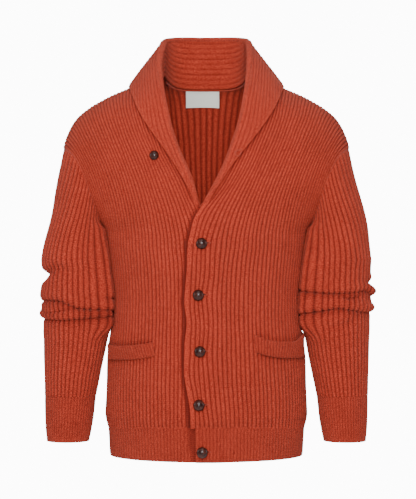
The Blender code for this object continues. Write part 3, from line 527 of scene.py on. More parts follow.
def drift(shape: tuple[int, ...], steps: tuple[int, int], seed: int, closed: bool) -> Array:
    """Slow unevenness over a grid, about -1 to 1.

    Args:
        shape: the grid's rows and columns.
        steps: rows and columns from one swell to the next.
        seed: sets the pattern.
        closed: whether the last column meets the first.

    Returns:
        One value for each point.
    """
    rows, columns = shape[0], shape[1]
    coarse = (rows // steps[0] + 3, columns // steps[1] + 3)
    values = np.random.default_rng(seed).uniform(-1.0, 1.0, coarse)
    if closed:
        values[:, -1] = values[:, 0]
    down = np.linspace(0, coarse[0] - 1, rows)
    over = np.linspace(0, coarse[1] - 1, columns, endpoint=not closed)
    i = np.clip(down.astype(int), 0, coarse[0] - 2)
    j = np.clip(over.astype(int), 0, coarse[1] - 2)
    u = smoothstep(down - i, 0.0, 1.0)[:, None]
    v = smoothstep(over - j, 0.0, 1.0)[None]
    top = values[i][:, j] * (1 - v) + values[i][:, j + 1] * v
    low = values[i + 1][:, j] * (1 - v) + values[i + 1][:, j + 1] * v
    return top * (1 - u) + low * u


@dataclass
class Cloth:
    """A thin knitted shell: its outer face as rows and columns of points, and how it is finished."""

    name: str
    points: Array
    outward: Array
    relief: Array
    ribs: Array
    # valley: painted shade at each point, in the rib valleys and the shadows under folds, edges and welts
    valley: Array
    closed: bool = False
    thickness: float = 0.0026
    open_cells: Optional[Array] = None
    crisp: bool = True
    wander: float = 0.0007
    vary: float = 0.22
    swell: float = 0.0004
    calm_rows: float = 4.0
    calm_columns: float = 6.0
    seed: int = 1

    def build(self, material: Material, slot: Slot, replaces: Sequence[str]) -> Object:
        """Makes the object.

        Args:
            material: its finish.
            slot: the record's slot the finish comes from.
            replaces: the solids it stands for.

        Returns:
            The shell, riding on the body.
        """
        surface = self._uneven()
        if self.closed:
            surface = np.concatenate([surface, surface[:, :1]], axis=1)
        rows, width = surface.shape[:2]
        sheet = bmesh.new()
        bmesh.ops.create_grid(sheet, x_segments=width - 1, y_segments=rows - 1, size=0.5)
        mesh = bpy.data.meshes.new(self.name)
        sheet.to_mesh(mesh)
        sheet.free()
        flat = np.empty(len(mesh.vertices) * 3)
        mesh.vertices.foreach_get("co", flat)
        flat = flat.reshape(-1, 3)
        column = np.rint((flat[:, 0] + 0.5) * (width - 1)).astype(int)
        row = np.rint((flat[:, 1] + 0.5) * (rows - 1)).astype(int)
        mesh.vertices.foreach_set("co", surface[row, column].ravel())
        self._mark(mesh, surface, row, column)
        mesh.update()
        self._mend(mesh, row, column)
        obj = place_object(self.name, mesh, material)
        solid = obj.modifiers.new("thickness", "SOLIDIFY")
        solid.thickness = self.thickness
        solid.offset = -1.0
        solid.use_even_offset = False
        return ride(obj, slot, replaces)

    def _uneven(self) -> Array:
        """The outer face with its ribs a little uneven, and true at its edges.

        Returns:
            The points of the face.
        """
        shape = self.points.shape[:2]
        if self.closed:
            across = np.roll(self.points, -1, axis=1) - np.roll(self.points, 1, axis=1)
            sides = np.ones(shape[1])
        else:
            across = np.gradient(self.points, axis=1)
            place = np.arange(shape[1])
            sides = smoothstep(np.minimum(place, place[::-1]), 0.0, self.calm_columns)
        place = np.arange(shape[0])
        calm = smoothstep(np.minimum(place, place[::-1]), 0.0, self.calm_rows)[:, None] * sides[None]
        steps = ((7, 9), (3, 4), (6, 14), (5, 4))
        slow, quick, height, size = (drift(shape, k, self.seed + i, self.closed) for i, k in enumerate(steps))
        sway = slow + 0.6 * quick
        size = 1.0 + self.vary * size * calm
        surface = self.points + unit(across) * (self.wander * sway * calm)[..., None]
        return surface + self.outward * (self.relief * size + self.swell * height * calm)[..., None]

    def _mark(self, mesh: Mesh, surface: Array, row: Array, column: Array) -> None:
        """Writes the knit map and the painted shade, in the rib valleys and under folds, edges and welts,
        onto the mesh.

        Args:
            mesh: its mesh.
            surface: the outer face.
            row: each vertex's row.
            column: each vertex's column.
        """
        ribs = np.broadcast_to(self.ribs, self.points.shape[:2])
        # painted shade for every point, closed round a tube like the knit map
        valley = np.broadcast_to(self.valley, self.points.shape[:2])
        if self.closed:
            ribs = np.concatenate([ribs, 2 * ribs[:, -1:] - ribs[:, -2:-1]], axis=1)
            valley = np.concatenate([valley, valley[:, :1]], axis=1)
        steps = np.linalg.norm(np.diff(surface, axis=0), axis=2)
        along = np.concatenate([[0.0], np.cumsum(steps, axis=0).mean(axis=1)])
        corner = np.empty(len(mesh.loops), int)
        mesh.loops.foreach_get("vertex_index", corner)
        knit = np.stack([ribs[row, column], along[row]], axis=1)[corner]
        layer = mesh.uv_layers.new(name=KNIT_UV)
        layer.data.foreach_set("uv", knit.astype(np.float32).ravel())
        shade = mesh.attributes.new(PAINTED_SHADE_ATTRIBUTE, "FLOAT", "POINT")
        shade.data.foreach_set("value", valley[row, column].astype(np.float32))

    def _mend(self, mesh: Mesh, row: Array, column: Array) -> None:
        """Cuts the open cells, closes a tube's seam and turns the faces outward.

        Args:
            mesh: its mesh.
            row: each vertex's row.
            column: each vertex's column.
        """
        work = bmesh.new()
        work.from_mesh(mesh)
        work.verts.ensure_lookup_table()
        if self.open_cells is not None:
            doomed = []
            for face in work.faces:
                places = [v.index for v in face.verts]
                if self.open_cells[row[places].min(), column[places].min()]:
                    doomed.append(face)
            bmesh.ops.delete(work, geom=doomed, context="FACES")
        facing = 0.0
        for face in list(work.faces)[:: max(1, len(work.faces) // 60)]:
            face.normal_update()
            index = face.verts[0].index
            outward = self.outward[row[index], column[index] % self.outward.shape[1]]
            facing += float(np.dot(np.array(face.normal), outward))
        if facing < 0:
            bmesh.ops.reverse_faces(work, faces=work.faces)
        if self.closed:
            edge = [v for v in work.verts if v.is_boundary]
            bmesh.ops.remove_doubles(work, verts=edge, dist=1e-6)
        for edge in work.edges:
            edge.smooth = not (self.crisp and edge.is_boundary)
        work.to_mesh(mesh)
        work.free()


def place_object(name: str, mesh: Mesh, material: Material) -> Object:
    """An object at the origin with one smooth-shaded material.

    Args:
        name: its name.
        mesh: its mesh.
        material: its finish.

    Returns:
        The linked object.
    """
    mesh.materials.clear()
    mesh.materials.append(material)
    mesh.shade_smooth()
    obj = bpy.data.objects.new(name, mesh)
    bpy.context.scene.collection.objects.link(obj)
    return obj


def ride(obj: Object, slot: Slot, replaces: Sequence[str] = ()) -> Object:
    """Puts a finished piece on the one body, in place of its solids.

    Args:
        obj: the piece.
        slot: not used.
        replaces: the solids it stands for.

    Returns:
        The same piece.
    """
    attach(obj, "root")
    if replaces:
        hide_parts(*replaces)
    triangles = sum(len(p.vertices) - 2 for p in obj.data.polygons)
    LOG.info("%s: %d triangles before its thickness", obj.name, triangles)
    return obj


@dataclass(frozen=True)
class FlatCut:
    """A piece's cloth laid flat, and the share of that rectangle which its outline fills."""

    width: float
    length: float
    share: float = 1.0

    def declare(self, obj: Object, rests_on: Sequence[str] = ()) -> None:
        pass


# --- the form of the body


@dataclass(frozen=True)
class Torso:
    """The hollow body: oval sections from the neck point to the blouse over the hem."""

    neck_half: float = 0.080
    neck_point: float = 0.025
    back_neck: float = 0.007
    neck_square: int = 6
    shoulder_end: float = 0.2636
    shoulder_end_height: float = -0.112
    underarm: float = -0.262
    fan: float = -0.290
    hem_front: float = -0.616
    hem_drop: float = 0.010
    hem_bottom: float = -0.678
    blouse: float = -0.602
    columns: Columns = ("height", "half_width", "front_depth", "back_depth")
    table: Table = (
        (0.025, 0.08, 0.025, 0.06),
        (0.014, 0.11, 0.04, 0.08),
        (0.0, 0.14, 0.056, 0.092),
        (-0.015, 0.175, 0.075, 0.098),
        (-0.026, 0.196, 0.085, 0.102),
        (-0.037, 0.2146, 0.093, 0.105),
        (-0.059, 0.2405, 0.103, 0.11),
        (-0.081, 0.2535, 0.111, 0.1145),
        (-0.112, 0.2636, 0.12, 0.119),
        (-0.137, 0.262, 0.1245, 0.121),
        (-0.165, 0.254, 0.1275, 0.122),
        (-0.19, 0.241, 0.1295, 0.122),
        (-0.22, 0.218, 0.131, 0.121),
        (-0.247, 0.199, 0.131, 0.12),
        (-0.262, 0.1875, 0.131, 0.119),
        (-0.29, 0.182, 0.1305, 0.117),
        (-0.35, 0.1745, 0.127, 0.112),
        (-0.386, 0.1705, 0.125, 0.109),
        (-0.43, 0.172, 0.124, 0.108),
        (-0.459, 0.178, 0.124, 0.109),
        (-0.5, 0.1825, 0.1245, 0.111),
        (-0.548, 0.1835, 0.126, 0.113),
        (-0.602, 0.186, 0.127, 0.115),
        (-0.62, 0.187, 0.1275, 0.115),
    )
    hem_table: Table = (
        (-0.616, 0.1812, 0.1225, 0.1105),
        (-0.678, 0.1775, 0.119, 0.108),
    )
    armhole_columns: Columns = ("height", "distance")
    armhole_table: Table = (
        (-0.112, 0.2636),
        (-0.118, 0.255),
        (-0.129, 0.241),
        (-0.154, 0.2265),
        (-0.184, 0.2138),
        (-0.214, 0.204),
        (-0.2395, 0.196),
        (-0.262, 0.1875),
    )
    curves: dict[str, Any] = field(default_factory=dict)

    def __post_init__(self) -> None:
        """Works out the curves from the tables."""
        self.curves.update(tracks(self.columns, self.table))
        self.curves.update({f"hem_{k}": v for k, v in tracks(self.columns, self.hem_table).items()})
        self.curves.update(tracks(self.armhole_columns, self.armhole_table))
        heights = np.linspace(self.shoulder_end_height, self.neck_point, 400)
        self.curves["ridge"] = (heights, self.curves["half_width"](heights))

    def half_width(self, z: Any) -> Array:
        """Half the body's width at a height."""
        return self.curves["half_width"](z)

    def side_at(self, y: Array, z: Array) -> Array:
        """How far out the body's side lies at a place."""
        depth = np.where(y < 0, self.curves["front_depth"](z), self.curves["back_depth"](z))
        return self.half_width(z) * np.sqrt(np.clip(1.0 - (y / depth) ** 2, 0.0, 1.0))

    def armhole(self, z: Any) -> Array:
        """How far out the armhole seam lies at a height."""
        return self.curves["distance"](z)

    def depth_at(self, x: Any, z: Any, facing: Facing) -> Array:
        """How far forward or back the body reaches at a place, as a signed Y.

        Args:
            x: distance from the middle.
            z: height.
            facing: front or back.

        Returns:
            Signed Y.
        """
        depth = self.curves["front_depth" if facing is Facing.FRONT else "back_depth"](z)
        share = np.clip(x / self.half_width(z), -1.0, 1.0)
        return facing.value * depth * np.sqrt(1.0 - share**2)

    def normal(self, x: Array, z: Array, facing: Facing, reach: float = 0.002) -> Array:
        """Outward direction of the body.

        Args:
            x: distance from the middle.
            z: height.
            facing: front or back.
            reach: half the step between the compared points.

        Returns:
            Unit directions.
        """

        def point(px: Array, pz: Array) -> Array:
            """A point of the body."""
            return np.stack([px, self.depth_at(px, pz, facing), pz], axis=-1)

        across = point(x + reach, z) - point(x - reach, z)
        up = point(x, z + reach) - point(x, z - reach)
        return unit(np.cross(across, up)) * -facing.value

    def on_body(self, x: Any, z: Any, facing: Facing, lift: float = 0.0) -> Array:
        """A point on the body, moved out by lift.

        Args:
            x: distance from the middle.
            z: height.
            facing: front or back.
            lift: how far it is moved out.

        Returns:
            The points.
        """
        x = np.asarray(x, float)
        z = np.asarray(z, float)
        place = np.stack([x, self.depth_at(x, z, facing), z], axis=-1)
        return place + self.normal(x, z, facing) * lift if lift else place

    def shoulder_height(self, distance: Array) -> Array:
        """Height of the shoulder's ridge at a distance from the middle."""
        heights, distances = self.curves["ridge"]
        return np.interp(-np.abs(distance), -distances, heights)

    def back_top(self, distance: Array) -> Array:
        """Top of the back: the ridge, and the back neck between the two neck points.

        Args:
            distance: distance from the middle.

        Returns:
            Heights.
        """
        away = np.abs(distance)
        rise = (away / self.neck_half) ** self.neck_square
        neck = self.back_neck + (self.neck_point - self.back_neck) * rise
        return np.where(away < self.neck_half, neck, self.shoulder_height(distance))

    def hem_height(self, share: Array) -> Array:
        """Height of the hem seam at a share of the half width, 0 in front and 1 at a side."""
        return self.hem_front - self.hem_drop * share**2

    def hem_point(self, share: Array, height: Array, facing: Facing) -> Array:
        """Points of the hem at these shares of its half width.

        Args:
            share: shares of the half width.
            height: the height.
            facing: front or back.

        Returns:
            The points.
        """
        depth = self.curves["hem_front_depth" if facing is Facing.FRONT else "hem_back_depth"](height)
        x = self.curves["hem_half_width"](height) * share
        y = facing.value * depth * np.sqrt(np.clip(1.0 - share**2, 0.0, 1.0))
        return np.stack(np.broadcast_arrays(x, y, height), axis=-1)

    def armhole_points(self, facing: Facing, shares: Array) -> Array:
        """The armhole seam from the underarm up to the shoulder.

        Args:
            facing: front or back.
            shares: shares of the height.

        Returns:
            The points, underarm first.
        """
        z = self.underarm + (self.shoulder_end_height - self.underarm) * shares
        x = self.armhole(z)
        y = self.depth_at(x, z, facing)
        low = smoothstep(shares, 0.0, 0.16)
        high = smoothstep(1.0 - shares, 0.0, 0.035)
        return np.stack([x, y * np.sqrt(low) * np.sqrt(high), z], axis=1)


TORSO = Torso()
BLOUSE_RISES = np.linspace(0.0, 1.0, 5)[:-1]


@dataclass
class Ribs:
    """How ribs stand on a panel."""

    crest: float = 0.0010
    valley: float = 0.0015
    columns: int = 4

    def relief(self, coordinate: Array) -> Array:
        """Height over the panel for a rib coordinate."""
        shape = rib_profile(coordinate)
        return np.where(shape > 0, shape * self.crest, shape * self.valley)

    def shade(self, coordinate: Array) -> Array:
        """Painted shade: 1 in the valleys and 0 on the crests."""
        return np.clip(0.5 - 0.5 * rib_profile(coordinate), 0.0, 1.0) ** 1.15


RIBS = Ribs()
FINE_RIBS = Ribs(crest=0.0006, valley=0.0009)
DEEPEST_SHADE = 1.35
BUTTON_PLACES = ((-0.0083, -0.2884), (-0.014, -0.38), (-0.0113, -0.48), (-0.0129, -0.5748), (-0.0072, -0.659))
CHEST_PLACE = (-0.0924, -0.1318)


@dataclass
class BackPanel:
    """The back, hem seam to shoulders."""

    ribs: int = 48
    body_rows: int = 46
    top_rows: int = 46
    crowding: float = 1.7
    lap: float = 0.0003
    flat: FlatCut = FlatCut(0.60, 0.66, 0.90)

    def _row(self, height: Optional[float] = None, share: float = 0.0) -> Array:
        """One row from the wearer's right to the left, finely sampled.

        Args:
            height: height of a level row, or none above the underarm.
            share: share of the way from the underarm to the top.

        Returns:
            The points.
        """
        angle = np.linspace(-math.pi / 2, math.pi / 2, 361)
        if height is not None:
            x = float(TORSO.half_width(height)) * np.sin(angle)
            z = np.full_like(x, height)
        else:
            end = TORSO.underarm + (TORSO.shoulder_end_height - TORSO.underarm) * share
            x = float(TORSO.armhole(end)) * np.sin(angle)
            top = TORSO.back_top(TORSO.shoulder_end * np.sin(angle))
            z = TORSO.underarm * (1 - share) + top * share
        return np.stack([x, TORSO.depth_at(x, z, Facing.BACK), z], axis=1)

    def build(self, finishes: Finishes) -> Object:
        """Makes the panel.

        Args:
            finishes: the cardigan's finishes.

        Returns:
            The piece.
        """
        shares = np.linspace(0.0, 1.0, self.ribs * RIBS.columns + 1)
        angle = np.linspace(-math.pi / 2, math.pi / 2, 361)
        rows = [blouse_row(np.sin(angle), float(rise), Facing.BACK) for rise in BLOUSE_RISES]
        rows += [self._row(height=h) for h in np.linspace(TORSO.blouse, TORSO.underarm, self.body_rows)[:-1]]
        rows += [self._row(share=s) for s in 1.0 - np.linspace(1.0, 0.0, self.top_rows) ** self.crowding]
        grid = np.array([resample(row, shares) for row in rows])[:, ::-1]
        grid[:, :, 1] += self.lap
        outward = grid_normals(grid, closed=False)
        ribs = np.broadcast_to(np.linspace(0.0, self.ribs, grid.shape[1]), grid.shape[:2])
        relief = RIBS.relief(ribs)
        fade = seam_fade(grid)
        cloth = Cloth("back_panel", grid, outward, relief * fade, ribs, RIBS.shade(ribs) * fade, seed=11)
        obj = cloth.build(finishes.rib, Slot.WOOL, ["back"])
        self.flat.declare(obj, ["collar_band"])
        return obj


def seam_fade(grid: Array, reach: float = 0.006, sides: bool = True) -> Array:
    """1 over a panel and 0 on its seams, where the ribs are drawn flat.

    Args:
        grid: points by row and column.
        reach: how far the fade goes.
        sides: whether the sides fade too.

    Returns:
        One factor for each point.
    """
    along = np.stack([run_along(grid[:, c]) for c in range(grid.shape[1])], axis=1)
    fade = smoothstep(along[-1] - along, 0.0, reach)
    if sides:
        across = np.array([run_along(row) for row in grid])
        for run in (across, across[:, -1:] - across):
            fade = fade * smoothstep(run, 0.0, reach * 0.5)
    return 0.15 + 0.85 * fade


def shadow(distance: Array, reach: float) -> Array:
    """1 under an edge, dying away with the distance from it."""
    return np.exp(-np.clip(distance, 0.0, 1.0) / reach)


def blouse_row(share: Array, rise: float, facing: Facing) -> Array:
    """A row of the soft roll over the hem, from the hem's seam at rise 0 to the body at 1.

    Args:
        share: shares of the half width.
        rise: 0 at the seam and 1 at the body.
        facing: front or back.

    Returns:
        The points.
    """
    hem = TORSO.hem_point(share, TORSO.hem_height(share), facing)
    x = float(TORSO.half_width(TORSO.blouse)) * share
    body = TORSO.on_body(x, np.full_like(x, TORSO.blouse), facing)
    out = math.sin(rise * math.pi / 2)
    return hem + (body - hem) * np.array([out, out, rise])


@dataclass
class FrontPanel:
    """One front, worked out at +X and mirrored onto its own side at the end."""

    side: Side
    ribs: int = 33
    low_rows: int = 50
    top_rows: int = 50
    crowding: float = 1.5
    flat: FlatCut = FlatCut(0.36, 0.68, 0.78)
    strip: float = 0.009
    strip_columns: int = 5
    overlap_lift: float = 0.0048
    overlap_reach: Pair = (0.012, 0.050)
    overlap_height: Pair = (-0.222, -0.182)
    slit_span: Pair = (0.104, 0.168)
    slit_inset: float = 0.005
    above_pocket: float = -0.388
    collar_shade_end: float = -0.215
    fan_passes: int = 70
    pucker: float = 0.30
    pucker_sink: float = 0.0006
    strip_height: float = 0.0008
    lap: float = 0.0003
    edge_columns: Columns = ("height", "left", "right")
    edge_table: Table = (
        (0.025, 0.08, 0.08),
        (0.014, 0.082, 0.084),
        (-0.012, 0.0843, 0.0917),
        (-0.038, 0.0823, 0.0897),
        (-0.08, 0.0668, 0.0732),
        (-0.122, 0.0515, 0.0585),
        (-0.155, 0.0365, 0.0425),
        (-0.182, 0.0223, 0.0297),
        (-0.206, 0.0055, 0.02),
        (-0.224, -0.0095, 0.0115),
        (-0.245, -0.022, 0.004),
        (-0.266, -0.028, -0.003),
        (-0.29, -0.0335, -0.009),
        (-0.33, -0.0345, -0.01),
        (-0.39, -0.0395, -0.01),
        (-0.43, -0.035, -0.01),
        (-0.47, -0.039, -0.01),
        (-0.51, -0.0395, -0.01),
        (-0.56, -0.0335, -0.01),
        (-0.602, -0.0285, -0.01),
        (-0.64, -0.0265, -0.01),
        (-0.678, -0.019, -0.01),
    )
    welt_columns: Columns = ("distance", "left_top", "left_bottom", "right_top", "right_bottom")
    welt_table: Table = (
        (0.087, -0.452, -0.482, -0.461, -0.488),
        (0.103, -0.46, -0.488, -0.467, -0.492),
        (0.131, -0.465, -0.494, -0.472, -0.497),
        (0.155, -0.466, -0.496, -0.474, -0.499),
        (0.171, -0.455, -0.497, -0.473, -0.5),
        (0.179, -0.451, -0.497, -0.472, -0.501),
    )
    pull_reach: float = 0.012
    chest_reach: float = 0.009

    def __post_init__(self) -> None:
        """Works out the edge and the pocket's guides."""
        self.edge = tracks(self.edge_columns, self.edge_table)[self.side.word]
        welts = tracks(self.welt_columns, self.welt_table)
        self.welt_top = welts[f"{self.side.word}_top"]
        self.welt_bottom = welts[f"{self.side.word}_bottom"]
        left = self.side is Side.LEFT
        x, z = CHEST_PLACE
        chest = (-x, z, self.chest_reach)
        self.pulls = [(*place, self.pull_reach) for place in BUTTON_PLACES[:-1]] if left else [chest]
        self.welt_span = (0.086, 0.1775) if left else (0.093, 0.1790)

    def lift(self, x: Array, z: Array) -> Array:
        """How far the top front stands off the under front.

        Args:
            x: distance from the middle.
            z: height.

        Returns:
            Distances forwards.
        """
        if self.side is Side.RIGHT:
            return np.zeros(np.broadcast(x, z).shape)
        near = 1.0 - smoothstep(x, *self.overlap_reach)
        return self.overlap_lift * near * (1.0 - smoothstep(z, *self.overlap_height))

    def point(self, x: Any, z: Any) -> Array:
        """A point on the front.

        Args:
            x: distance from the middle.
            z: height.

        Returns:
            The points.
        """
        x = np.asarray(x, float)
        z = np.asarray(z, float)
        place = TORSO.on_body(x, z, Facing.FRONT)
        place[..., 1] -= self.lift(x, z)
        return place

    def laid(self, x: Any, z: Any, out: float) -> tuple[Array, Array]:
        """Points on this front or the hem below it, moved out, and the way they face.

        Args:
            x: distance from the middle.
            z: height.
            out: how far off the cloth.

        Returns:
            The points and their unit directions.
        """
        x, z = np.asarray(x, float), np.asarray(z, float)
        if np.mean(z) > TORSO.hem_front:
            normal = TORSO.normal(x, z, Facing.FRONT)
            return self.point(x, z) + normal * out, normal
        normal = np.array([0.0, -1.0, 0.0])
        place = TORSO.hem_point(x / TORSO.curves["hem_half_width"](z), z, Facing.FRONT)
        return place + normal * (self.overlap_lift + out), normal

    def _row_x(self, start: float, end: float) -> Array:
        """Distances from the inner edge to the side, closer together towards the side."""
        return start + (end - start) * np.sin(np.linspace(0.0, math.pi / 2, 241))

    def _guide(self, level: float, x: Array) -> Array:
        """How far a row at this level is bent to follow the pocket's edges.

        Args:
            level: height of the row at the free edge.
            x: distance from the middle.

        Returns:
            Height to add at each distance.
        """
        span = np.clip(x, *self.welt_span)
        low_level, top_level = self._slit_levels()
        top = self.welt_top(span) - self.slit_inset - top_level
        low = self.welt_bottom(span) + self.slit_inset - low_level
        levels = (TORSO.blouse, low_level, top_level, self.above_pocket)
        none = np.zeros_like(x)
        stack = np.array([none, low, top, none])
        return np.array([np.interp(level, levels, stack[:, i]) for i in range(len(x))])

    def _low_row(self, level: float) -> Array:
        """A row between the blouse and the fan.

        Args:
            level: height of the row at the free edge.

        Returns:
            The points.
        """
        x = self._row_x(float(self.edge(level)), float(TORSO.half_width(level)))
        z = level + self._guide(level, x)
        x = x * np.where(x > 0.1, TORSO.half_width(z) / TORSO.half_width(level), 1.0)
        return self.point(x, z)

    def _top_row(self, share: float) -> Array:
        """A row between the fan and the shoulder.

        Args:
            share: share of the way from the fan to the shoulder.

        Returns:
            The points.
        """
        start = TORSO.fan * (1 - share) + TORSO.neck_point * share
        end = TORSO.underarm * (1 - share) + TORSO.shoulder_end_height * share
        x = self._row_x(float(self.edge(start)), float(TORSO.armhole(end)))
        t = (x - x[0]) / (x[-1] - x[0])
        top = TORSO.shoulder_height(TORSO.neck_half + (TORSO.shoulder_end - TORSO.neck_half) * t)
        z = (TORSO.fan + (TORSO.underarm - TORSO.fan) * t) * (1 - share) + top * share
        return self.point(x, z)

    def _levels(self) -> Array:
        """Heights of the lower rows, with the pocket's two edges among them.

        Returns:
            Heights, lowest first.
        """
        levels = np.linspace(TORSO.blouse, TORSO.fan, self.low_rows)[:-1]
        for level in self._slit_levels():
            levels[np.argmin(np.abs(levels - level))] = level
        return levels

    def _slit_levels(self) -> Pair:
        """Levels of the slit's lower and upper edge."""
        start = self.welt_span[0]
        return float(self.welt_bottom(start)) + self.slit_inset, float(self.welt_top(start)) - self.slit_inset

    def _shares(self, points: Array) -> Array:
        """Columns: the plain strip along the free edge, then the ribs.

        Args:
            points: a row of points.

        Returns:
            Shares of the row's length.
        """
        strip = self.strip / run_along(points)[-1]
        edge = np.linspace(0.0, strip, self.strip_columns + 1)[:-1]
        return np.concatenate([edge, np.linspace(strip, 1.0, self.ribs * RIBS.columns + 1)])

    def _soften_fan(self, grid: Array) -> Array:
        """Draws out the bend of the ribs at the fan, more the further they are from the free edge.

        Args:
            grid: points by row and column.

        Returns:
            The same grid, changed.
        """
        share = np.linspace(0.0, 1.0, grid.shape[1])
        loose = smoothstep(share, 0.05, 0.35) * (1.0 - smoothstep(share, 0.90, 1.0))
        for _ in range(self.fan_passes):
            middle = (grid[:-2, :, 0] + grid[2:, :, 0]) / 2
            grid[1:-1, :, 0] += 0.6 * loose * (middle - grid[1:-1, :, 0])
        above = grid[4:-1]
        above[..., 1] = self.point(above[..., 0], above[..., 2])[..., 1]
        return grid

    def _shade_from_pieces(self, grid: Array) -> Array:
        """How much the front lies in the shade of the top front, the collar and the pocket's welt.

        Args:
            grid: points by row and column.

        Returns:
            0 in the open and up to 1.3.
        """
        x, z = grid[..., 0], grid[..., 2]
        top, bottom = self.welt_top(x), self.welt_bottom(x)
        beside_collar = smoothstep(-z, 0.0, 0.03) * (z > self.collar_shade_end)
        shade = 0.75 * shadow(x - collar_edge(self.side)(z), 0.0035) * beside_collar
        inside = smoothstep(x, self.welt_span[0] - 0.002, self.welt_span[0] + 0.010)
        mouth = shadow(z - top, 0.0035) * (z > top - 0.004)
        under = shadow(bottom - z, 0.0030) * (z < bottom + 0.003)
        shade = np.maximum(shade, inside * np.maximum(0.9 * mouth, 0.7 * under))
        if self.side is Side.RIGHT:
            away = x + tracks(self.edge_columns, self.edge_table)["left"](z)
            beside = 1.3 * (1.0 - smoothstep(away, 0.0015, 0.0095)) * (1.0 - smoothstep(z, -0.225, -0.200))
            shade = np.maximum(shade, beside)
        return shade

    def _pucker(self, grid: Array) -> Array:
        """Draws the ribs in a little round each button on this front.

        Args:
            grid: points by row and column.

        Returns:
            The same grid, changed.
        """
        for x, z, reach in self.pulls:
            away_x = x - grid[..., 0]
            away_z = z - grid[..., 2]
            pull = np.exp(-(away_x**2 + (0.7 * away_z) ** 2) / (2 * reach**2))
            grid[..., 0] += self.pucker * away_x * pull
            grid[..., 1] += self.pucker_sink * pull
        return grid

    def build(self, finishes: Finishes) -> Object:
        """Makes the panel with its pocket slit.

        Args:
            finishes: the cardigan's finishes.

        Returns:
            The piece.
        """
        width = float(TORSO.curves["hem_half_width"](TORSO.hem_front))
        share = np.clip(self._row_x(float(self.edge(TORSO.hem_front)), width) / width, -1.0, 1.0)
        rows = []
        for rise in BLOUSE_RISES:
            row = blouse_row(share, float(rise), Facing.FRONT)
            row[:, 1] -= self.lift(row[:, 0], row[:, 2])
            rows.append(row)
        levels = self._levels()
        rows += [self._low_row(float(level)) for level in levels]
        rows += [self._top_row(float(s)) for s in 1.0 - np.linspace(1.0, 0.0, self.top_rows) ** self.crowding]
        grid = np.array([resample(row, self._shares(row)) for row in rows])
        grid = self._pucker(self._soften_fan(grid))
        grid[:, :, 1] -= self.lap
        outward = grid_normals(grid, closed=False)
        counted = np.linspace(0.0, self.ribs, grid.shape[1] - self.strip_columns)
        ribs = np.concatenate([np.full(self.strip_columns, 0.5), counted])
        relief = np.broadcast_to(RIBS.relief(ribs), grid.shape[:2]).copy()
        strip = np.sin(np.linspace(0.15, 1.0, self.strip_columns + 1)[:-1] * math.pi) * self.strip_height
        relief[:, : self.strip_columns] = strip
        shade = np.broadcast_to(RIBS.shade(ribs), grid.shape[:2]).copy()
        fade = seam_fade(grid, sides=False)
        shade = np.clip(shade * fade + self._shade_from_pieces(grid), 0.0, DEEPEST_SHADE)
        first, last = (len(BLOUSE_RISES) + int(np.argmin(np.abs(levels - k))) for k in self._slit_levels())
        open_cells = np.zeros(grid.shape[:2], bool)
        middle = grid[first, :, 0]
        open_cells[first:last] = (middle > self.slit_span[0]) & (middle < self.slit_span[1])
        flip = self.side.flip
        more = {"open_cells": open_cells, "seed": 21 + 10 * (self.side is Side.LEFT)}
        name = f"front_panel_{self.side.word}"
        cloth = Cloth(name, grid * flip, outward * flip, relief * fade, ribs, shade, **more)
        obj = cloth.build(finishes.rib, Slot.WOOL, [f"front_{self.side.word}"])
        self.flat.declare(obj, ["collar_band"])
        return obj


@dataclass(frozen=True)
class Fold:
    """A crease round a sleeve, with the cloth above it hanging over it as a lip.

    The turn is in degrees, from the outer side over the front. After the last row comes the first.
    """

    width: float
    droop: float
    rows: Table
    shade: float = 0.62
    columns: ClassVar[Columns] = ("turn", "height", "depth", "lip")

    def _around(self, name: str, turn: Array) -> Array:
        """One column of the rows at any turn, closed on itself.

        Args:
            name: the column.
            turn: degrees round the sleeve.

        Returns:
            The values there.
        """
        turns, values = (np.array(self.rows)[:, self.columns.index(key)] for key in ("turn", name))
        return Track(np.concatenate([turns - 360.0, turns, turns + 360.0]), np.tile(values, 3))(turn)

    def move(self, turn: Array, z: Array) -> tuple[Array, Array, Array]:
        """How far the cloth moves out, and down, and how much it lies in its own shade.

        Args:
            turn: degrees round the sleeve.
            z: height.

        Returns:
            Three arrays of one shape.
        """
        away = z - self._around("height", turn)
        depth, lip = self._around("depth", turn), self._around("lip", turn)
        w = self.width
        out = -depth * np.exp(-((away / w) ** 2)) + lip * np.exp(-(((away - 1.7 * w) / (1.3 * w)) ** 2))
        down = self.droop * np.clip(depth / 0.005, 0.0, 1.2) * np.exp(-(((away - 0.8 * w) / (0.9 * w)) ** 2))
        below = np.exp(-((np.minimum(away, 0.0) / (2.1 * w)) ** 2))
        below *= np.exp(-((np.maximum(away, 0.0) / (0.6 * w)) ** 2))
        shade = np.clip(depth / 0.006, 0.0, 1.0) * below
        return out, down, shade * self.shade


